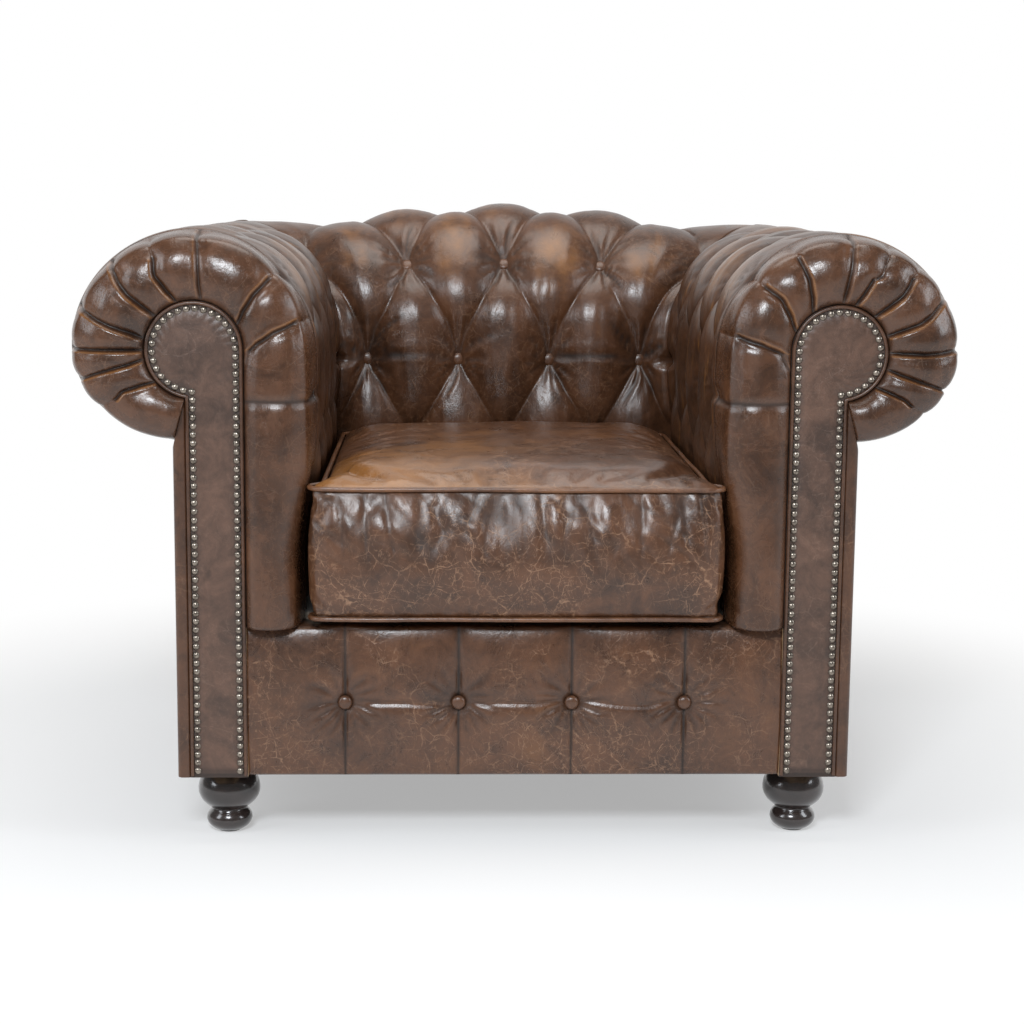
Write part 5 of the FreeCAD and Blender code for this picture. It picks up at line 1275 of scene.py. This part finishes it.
class ARMCHAIR_OT_cushion(bpy.types.Operator):
    """Make the loose seat cushion with its piping"""
    bl_idname = "armchair.cushion"
    bl_label = "Seat cushion"

    def execute(self, context):
        pad = Mesh()
        pad.closed(cushion_rings())
        piece = pad.build(
            "seat_cushion_pad", leather("leather_cushion", 1.12, 0.95, 0.85, 0.36, 0.55), "seat_cushion",
            "cushion_leather", ("cushion_cover",))
        remesh = piece.modifiers.new("Remesh", "REMESH")
        remesh.mode = "VOXEL"
        remesh.voxel_size = 0.0055
        self.bake(piece)
        puff(piece, 0.008)
        smooth = piece.modifiers.new("Smooth", "SMOOTH")
        smooth.iterations = 3
        split = piece.modifiers.new("Subdivision", "SUBSURF")
        split.levels = split.render_levels = 1
        self.bake(piece)
        self.wrinkle(piece)
        piece.data.shade_smooth()
        core = Mesh()
        heights = np.linspace(CUSHION_LOW + 0.008, CUSHION_HIGH - 0.008, 8)
        core.closed([[(x, y, height) for x, y in cushion_loop(0.009, 0.0)] for height in heights])
        core.build(
            "cushion_core", woven("felt_stuffing", FELT, 60.0), "seat_cushion", "stuffing",
            ("cushion_foam",))
        piping = leather("leather_piping", 1.35, 0.5, 0.35, 0.38, 0.15)
        for name, height in (("lower", CUSHION_LOW + 0.0028), ("upper", CUSHION_HIGH)):
            cord = Mesh()
            path = piping_path(cushion_loop(0.0, 0.0), height, 0.0018)
            cord.tube(path, sizes().piping_radius, 12, True, wear=0.5)
            cord.build(
                "cushion_piping_" + name, piping, "seat_cushion", "cushion_leather",
                ("cushion_%s_piping" % name,))
        return {"FINISHED"}

    def bake(self, piece):
        shaped = piece.evaluated_get(bpy.context.evaluated_depsgraph_get())
        mesh = bpy.data.meshes.new_from_object(shaped)
        material = piece.data.materials[0]
        piece.modifiers.clear()
        piece.data = mesh
        mesh.materials.clear()
        mesh.materials.append(material)

    def wrinkle(self, piece):
        """Creases of the boxing and the top, painted shade in the boxing's folds, and how worn each place
        is.
        """
        mesh = piece.data
        places = np.zeros(len(mesh.vertices) * 3)
        normals = np.zeros(len(mesh.vertices) * 3)
        mesh.vertices.foreach_get("co", places)
        mesh.vertices.foreach_get("normal", normals)
        places, normals = places.reshape(-1, 3), normals.reshape(-1, 3)
        x, y, z = places.T
        rise = (z - CUSHION_LOW) / (CUSHION_HIGH - CUSHION_LOW)
        front = ease((-normals[:, 1] - 0.5) / 0.3)
        top = ease((normals[:, 2] - 0.5) / 0.3)
        sides = ease((np.abs(normals[:, 0]) - 0.5) / 0.3)
        long_folds = field(x, z + 0.4 * np.abs(x), 34.0, 7.0, 4.0)
        ridge = (1 - np.abs(long_folds)) ** 5
        diagonal = field(x + 0.9 * z, z - 0.5 * x, 26.0, 9.0, 8.0)
        slant = (1 - np.abs(diagonal)) ** 6
        hollow = field(x, z, 12.0, 9.0, 2.0)
        upper = ease((rise - 0.30) / 0.35) * (1 - ease((rise - 0.97) / 0.03))
        inward = front * (0.0026 * ridge * upper + 0.0016 * slant * upper + 0.0020 * hollow * upper)
        spread = field(x, y, 7.0, 7.0, 6.0)
        small = field(x, y, 30.0, 22.0, 16.0)
        inward = inward + top * (0.0035 * spread + 0.0012 * small)
        inward = inward + sides * 0.002 * field(y, z, 22.0, 9.0, 12.0)
        inward = inward * (1 - np.exp(-np.abs(rise - 1.0) / 0.03)) * (1 - np.exp(-np.abs(rise) / 0.03))
        mesh.vertices.foreach_set("co", (places - normals * inward[:, None]).ravel())
        forward = ease((-y - 0.05) / 0.33)
        lean = ease((0.16 - x) / 0.30)
        wear = top * (0.38 + 0.42 * forward * lean + 0.25 * spread) + front * 0.16
        wear = np.clip(wear, 0, 1)
        # painted shade in the folds of the front boxing
        crease_shade = np.clip(front * upper * (0.40 * ridge ** 2 + 0.35 * slant ** 2), 0, 1)
        for key, found in (("wear", wear), ("crease_shade", crease_shade)):
            layer = mesh.attributes.get(key) or mesh.attributes.new(key, "FLOAT", "POINT")
            layer.data.foreach_set("value", found.astype(np.float32))
        mesh.update()


class ARMCHAIR_OT_outside(bpy.types.Operator):
    """Cover the outside of the arms and the back"""
    bl_idname = "armchair.outside"
    bl_label = "Outside covers"

    def sheet(self, cover, outer, inner, seed, rows=70):
        """An upright sheet between two plan lines, a little slack in its middle."""
        outer, inner = np.array(outer), np.array(inner)
        low, high = BODY_BOTTOM, ROLL_Z - ROLL_UNDER + 0.057
        heights = np.linspace(low, high, rows)
        run = np.concatenate([[0], np.cumsum(np.hypot(*np.diff(outer, axis=0).T))])
        place, height = np.meshgrid(run, heights)
        slack = field(place, height, 5.0, 9.0, seed) + 0.4 * field(place, height, 22.0, 12.0, seed + 1)
        edge = ease((height - low) / 0.04) * ease((high - height) / 0.04)
        inward = inner - outer
        inward = inward / np.linalg.norm(inward, axis=1, keepdims=True)
        dip = 0.0011 * (1 + slack) * edge
        front = np.zeros((rows, len(outer), 3))
        front[..., 0] = outer[:, 0] + inward[:, 0] * dip
        front[..., 1] = outer[:, 1] + inward[:, 1] * dip
        front[..., 2] = height
        rear = np.zeros((rows, len(outer), 3))
        rear[..., 0], rear[..., 1], rear[..., 2] = inner[:, 0], inner[:, 1], height
        ring = np.concatenate([front, rear[:, ::-1]], axis=1)
        cover.closed(ring, 0.25)

    def corner(self, radius):
        return [(radius * math.sin(t), radius * math.cos(t)) for t in np.linspace(PI / 4, 0, 9)]

    def execute(self, context):
        material = leather("leather_outside", 0.95, 0.4, 0.45, 0.40, 0.4)
        for name, side in SIDES:
            cover = Mesh()
            outer, inner = [], []
            for y in np.linspace(SEAM_Y, ROLL_Y, 60):
                outer.append((OUTSIDE_X, y))
                inner.append((OUTSIDE_INNER_X, y))
            for radius, line in ((OUTSIDE_OFFSET, outer), (OUTSIDE_INNER, inner)):
                for a, b in self.corner(radius)[::-1][1:]:
                    line.append((ROLL_X + b, ROLL_Y + a))
            outer, inner = np.array(outer), np.array(inner)
            outer[:, 0] *= side
            inner[:, 0] *= side
            self.sheet(cover, outer, inner, 40.0 + side)
            rings = []
            for t in np.linspace(0, 1, 60):
                ring = []
                for x, y in self.edge_loop():
                    ceiling = ROLL_Z - HEAD_DROP - 0.001 - (x - 0.394) / 0.016 * 0.059
                    ring.append((side * x, y, BODY_BOTTOM + (ceiling - BODY_BOTTOM) * t))
                rings.append(ring)
            cover.closed(rings, 0.3)
            piece = cover.build(
                name + "_outside_panel", material, "chair", "panel_leather",
                (name + "_outside_cover",), merge=0)
            sharp_edges(piece, 55)
        cover = Mesh()
        outer, inner = [], []
        for radius, line in ((OUTSIDE_OFFSET, outer), (OUTSIDE_INNER, inner)):
            right = [(ROLL_X + a, ROLL_Y + b) for a, b in self.corner(radius)]
            middle = [(x, ROLL_Y + radius) for x in np.linspace(ROLL_X, -ROLL_X, 110)[1:-1]]
            left = [(-x, y) for x, y in right][::-1]
            line += right + middle + left
        self.sheet(cover, outer, inner, 47.0)
        piece = cover.build(
            "outside_back_panel", material, "chair", "panel_leather", ("outside_back_cover",))
        sharp_edges(piece, 55)
        return {"FINISHED"}

    def edge_loop(self):
        """Section of the stuffed front edge, round at its outer front corner."""
        points = [(0.3942, SEAM_Y), (0.3942, FACING_Y + 0.003)]
        for t in np.linspace(0, PI / 2, 6):
            points.append((0.3972 - 0.003 * math.cos(t), FACING_Y + 0.003 - 0.003 * math.sin(t)))
        for t in np.linspace(0, PI / 2, 9):
            points.append((0.403 + 0.007 * math.sin(t), FACING_Y + 0.007 - 0.007 * math.cos(t)))
        points.append((OUTSIDE_X, SEAM_Y))
        return points


class ARMCHAIR_OT_feet(bpy.types.Operator):
    """Turn the feet"""
    bl_idname = "armchair.feet"
    bl_label = "Feet"

    def execute(self, context):
        knots = np.array((
            (0.0, 0.012), (0.0, 0.0185), (0.0012, 0.0205), (0.004, 0.0242), (0.008, 0.0272),
            (0.0125, 0.0284),
            (0.017, 0.0278), (0.021, 0.0258), (0.0242, 0.0228), (0.0258, 0.0216), (0.0272, 0.0216),
            (0.0276, 0.0232), (0.029, 0.0245), (0.0325, 0.0292), (0.037, 0.0336), (0.042, 0.0366),
            (0.0475, 0.0383), (0.053, 0.0385), (0.059, 0.0376), (0.066, 0.0352), (0.072, 0.0320),
            (0.078, 0.0283), (0.082, 0.0258), (0.0835, 0.0248), (0.0835, 0.010),
        ))
        rings = [(radius, height + 0.0025) for height, radius in knots]
        feet = Mesh()
        for side in (-1, 1):
            for along in FOOT_ALONG:
                feet.lathe(rings, (side * FOOT_ACROSS, along, 0.0), 56)
        material = stained_wood("foot_wood", looks().foot_colour, 0.18, 0.9)
        piece = feet.build("turned_bun_feet", material, "chair", "foot_wood", ("turned_feet",), merge=0)
        sharp_edges(piece, 50)
        return {"FINISHED"}


class ARMCHAIR_OT_structure(bpy.types.Operator):
    """Finish the frame, webbing, linings and the zip, which keep the solids' shapes"""
    bl_idname = "armchair.structure"
    bl_label = "Frame and linings"

    def execute(self, context):
        finishes = {
            "hardwood": lambda: stained_wood("hardwood", (0.42, 0.27, 0.14), 0.6, 0.0, 18.0),
            "ply": lambda: stained_wood("bent_ply", (0.52, 0.37, 0.20), 0.6, 0.0, 34.0),
            "foot_wood": lambda: stained_wood("foot_wood", looks().foot_colour, 0.18, 0.9),
            "steel": lambda: metal("zinc_steel", (0.55, 0.55, 0.56), 0.3),
            "glide": lambda: plain_plastic("glide_plastic", (0.05, 0.05, 0.05), 0.5),
            "webbing": lambda: woven("jute_webbing", (0.33, 0.25, 0.15), 210.0),
            "hessian": lambda: woven("hessian_cloth", (0.42, 0.33, 0.21), 330.0),
            "stuffing": lambda: woven("felt_stuffing", FELT, 60.0),
            "deck_cloth": lambda: woven("black_lining", (0.030, 0.026, 0.023), 420.0),
            "zip_cloth": lambda: woven("zip_cloth", (0.06, 0.035, 0.02), 700.0),
            "zip_metal": lambda: metal("zip_metal", (0.30, 0.22, 0.12), 0.3),
            "nail_metal": lambda: metal("nail_metal", looks().nail_colour, 0.22),
        }
        plain = partial(leather, "leather_outside", 0.95, 0.4, 0.45, 0.40, 0.4)
        slots = {part["node"]: part["material_slot"] for part in frame["record"]["subparts"]}
        for name, node in frame["nodes"].items():
            material = finishes.get(slots.get(name, "hardwood"), plain)()
            node.data.materials.clear()
            node.data.materials.append(material)
        return {"FINISHED"}


def area_light(name, place, target, size, watts, colour):
    data = bpy.data.lights.new(name, "AREA")
    data.shape = "RECTANGLE"
    data.size, data.size_y = size
    data.energy = watts
    data.color = colour
    lamp = bpy.data.objects.new(name, data)
    bpy.context.scene.collection.objects.link(lamp)
    lamp.location = place
    lamp.rotation_euler = (Vector(target) - Vector(place)).to_track_quat("-Z", "Y").to_euler()


class ARMCHAIR_OT_stage(bpy.types.Operator):
    """Set the pale floor, the soft lamps and the camera"""
    bl_idname = "armchair.stage"
    bl_label = "Stage"

    def execute(self, context):
        scene = context.scene
        line = [(-3.2, 0.0), (1.6, 0.0)]
        for turn in np.linspace(0, PI / 2, 16):
            line.append((1.6 + 1.4 * math.sin(turn), 1.4 - 1.4 * math.cos(turn)))
        line.append((3.0, 5.0))
        points, faces = [], []
        for number, (along, height) in enumerate(line):
            points += [(-6.0, along, height), (6.0, along, height)]
            if number:
                faces.append((2 * number - 2, 2 * number - 1, 2 * number + 1, 2 * number))
        mesh = bpy.data.meshes.new("studio_floor")
        mesh.from_pydata(points, [], faces)
        mesh.shade_smooth()
        s = Shader("studio_paper")
        tone = s.noise(s.place(), 3.0, 2.0)
        paper = s.blend(tone * 0.05, (0.90, 0.90, 0.90), (0.86, 0.86, 0.86))
        s.finish({"Base Color": paper, "Roughness": 0.9, "Specular IOR Level": 0.1})
        glow = s.node("ShaderNodeEmission", {}, {0: (1.0, 1.0, 1.0, 1.0), 1: 1.0})
        rays = s.tree.nodes.new("ShaderNodeLightPath")
        seen = Value(s, rays.outputs["Is Camera Ray"])
        shiny = Value(s, rays.outputs["Is Glossy Ray"])
        through = Value(s, rays.outputs["Is Transmission Ray"])
        shown = s.node("ShaderNodeMath", {"operation": "MINIMUM"}, {0: seen + shiny + through, 1: 1.0})
        away = s.node("ShaderNodeVectorMath", {"operation": "LENGTH"}, {0: s.place()}, "Value")
        share = s.ramp(away, 0.70, 1.35) * 0.60 + 0.40
        surface = Value(s, s.surface.outputs[0])
        mixed = s.node("ShaderNodeMixShader", {}, {0: shown * share, 1: surface, 2: glow})
        s.tree.links.new(mixed.socket, s.tree.nodes["Material Output"].inputs["Surface"])
        mesh.materials.append(s.material)
        floor = bpy.data.objects.new("studio_floor", mesh)
        scene.collection.objects.link(floor)
        world = scene.world = bpy.data.worlds.new("studio_air")
        world.use_nodes = True
        air = world.node_tree.nodes["Background"]
        air.inputs[0].default_value = (1.0, 1.0, 1.0, 1.0)
        air.inputs[1].default_value = 0.22
        cool = (0.90, 0.95, 1.0)
        area_light("top_soft", (0.0, -0.1, 2.7), (0.0, 0.0, 0.4), (1.8, 1.5), 30.0, (1.0, 0.97, 0.93))
        area_light("key_soft", (-0.5, -3.0, 2.1), (0.0, 0.0, 0.45), (0.85, 0.6), 74.0, cool)
        area_light("left_soft", (-2.4, -1.6, 1.5), (0.0, 0.0, 0.5), (0.8, 1.5), 22.0, cool)
        area_light("right_soft", (2.5, -1.3, 1.6), (0.0, 0.0, 0.5), (0.8, 1.5), 24.0, cool)
        self.camera(scene)
        scene.view_settings.view_transform = "Standard"
        return {"FINISHED"}

    def camera(self, scene):
        data = bpy.data.cameras.new("front_view")
        data.sensor_width = 36.0
        data.lens = 2027.8 / 1024 * 36.0
        data.clip_start, data.clip_end = 0.05, 30.0
        pitch, yaw, roll = math.radians(8.9), math.radians(-2.0), math.radians(0.5)
        level = Vector((-math.sin(yaw), math.cos(yaw), 0.0))
        ahead = level * math.cos(pitch) - Vector((0.0, 0.0, math.sin(pitch)))
        right = Vector((math.cos(yaw), math.sin(yaw), 0.0))
        up = right.cross(ahead)
        across = right * math.cos(roll) + up * math.sin(roll)
        upward = up * math.cos(roll) - right * math.sin(roll)
        turn = Matrix((across, upward, -ahead)).transposed()
        camera = bpy.data.objects.new("front_view", data)
        camera.matrix_world = Matrix.Translation((-0.0899, -2.8185, 0.7902)) @ turn.to_4x4()
        scene.collection.objects.link(camera)
        scene.camera = camera


class ARMCHAIR_PT_panel(bpy.types.Panel):
    bl_label = "Armchair"
    bl_idname = "ARMCHAIR_PT_panel"
    bl_space_type = "VIEW_3D"
    bl_region_type = "UI"
    bl_category = "Armchair"

    def draw(self, context):
        layout = self.layout
        for group in (context.scene.armchair_sizes, context.scene.armchair_looks):
            for name in group.bl_rna.properties.keys():
                if name not in ("rna_type", "name"):
                    layout.prop(group, name)
        for operator in OPERATORS:
            layout.operator(operator.bl_idname)


OPERATORS = (
    ARMCHAIR_OT_structure, ARMCHAIR_OT_back, ARMCHAIR_OT_arms, ARMCHAIR_OT_borders,
    ARMCHAIR_OT_facings, ARMCHAIR_OT_nails, ARMCHAIR_OT_buttons, ARMCHAIR_OT_front_rail,
    ARMCHAIR_OT_cushion, ARMCHAIR_OT_outside, ARMCHAIR_OT_feet, ARMCHAIR_OT_stage,
)
CLASSES = (ArmchairSizes, ArmchairLooks, *OPERATORS, ARMCHAIR_PT_panel)


def register():
    for item in CLASSES:
        bpy.utils.register_class(item)
    bpy.types.Scene.armchair_sizes = PointerProperty(type=ArmchairSizes)
    bpy.types.Scene.armchair_looks = PointerProperty(type=ArmchairLooks)


def unregister():
    del bpy.types.Scene.armchair_looks
    del bpy.types.Scene.armchair_sizes
    for item in reversed(CLASSES):
        bpy.utils.unregister_class(item)


def main():
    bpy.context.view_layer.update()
    register()
    for operator in OPERATORS:
        getattr(bpy.ops.armchair, operator.bl_idname.split(".")[1])()


if __name__ == "__main__":
    main()
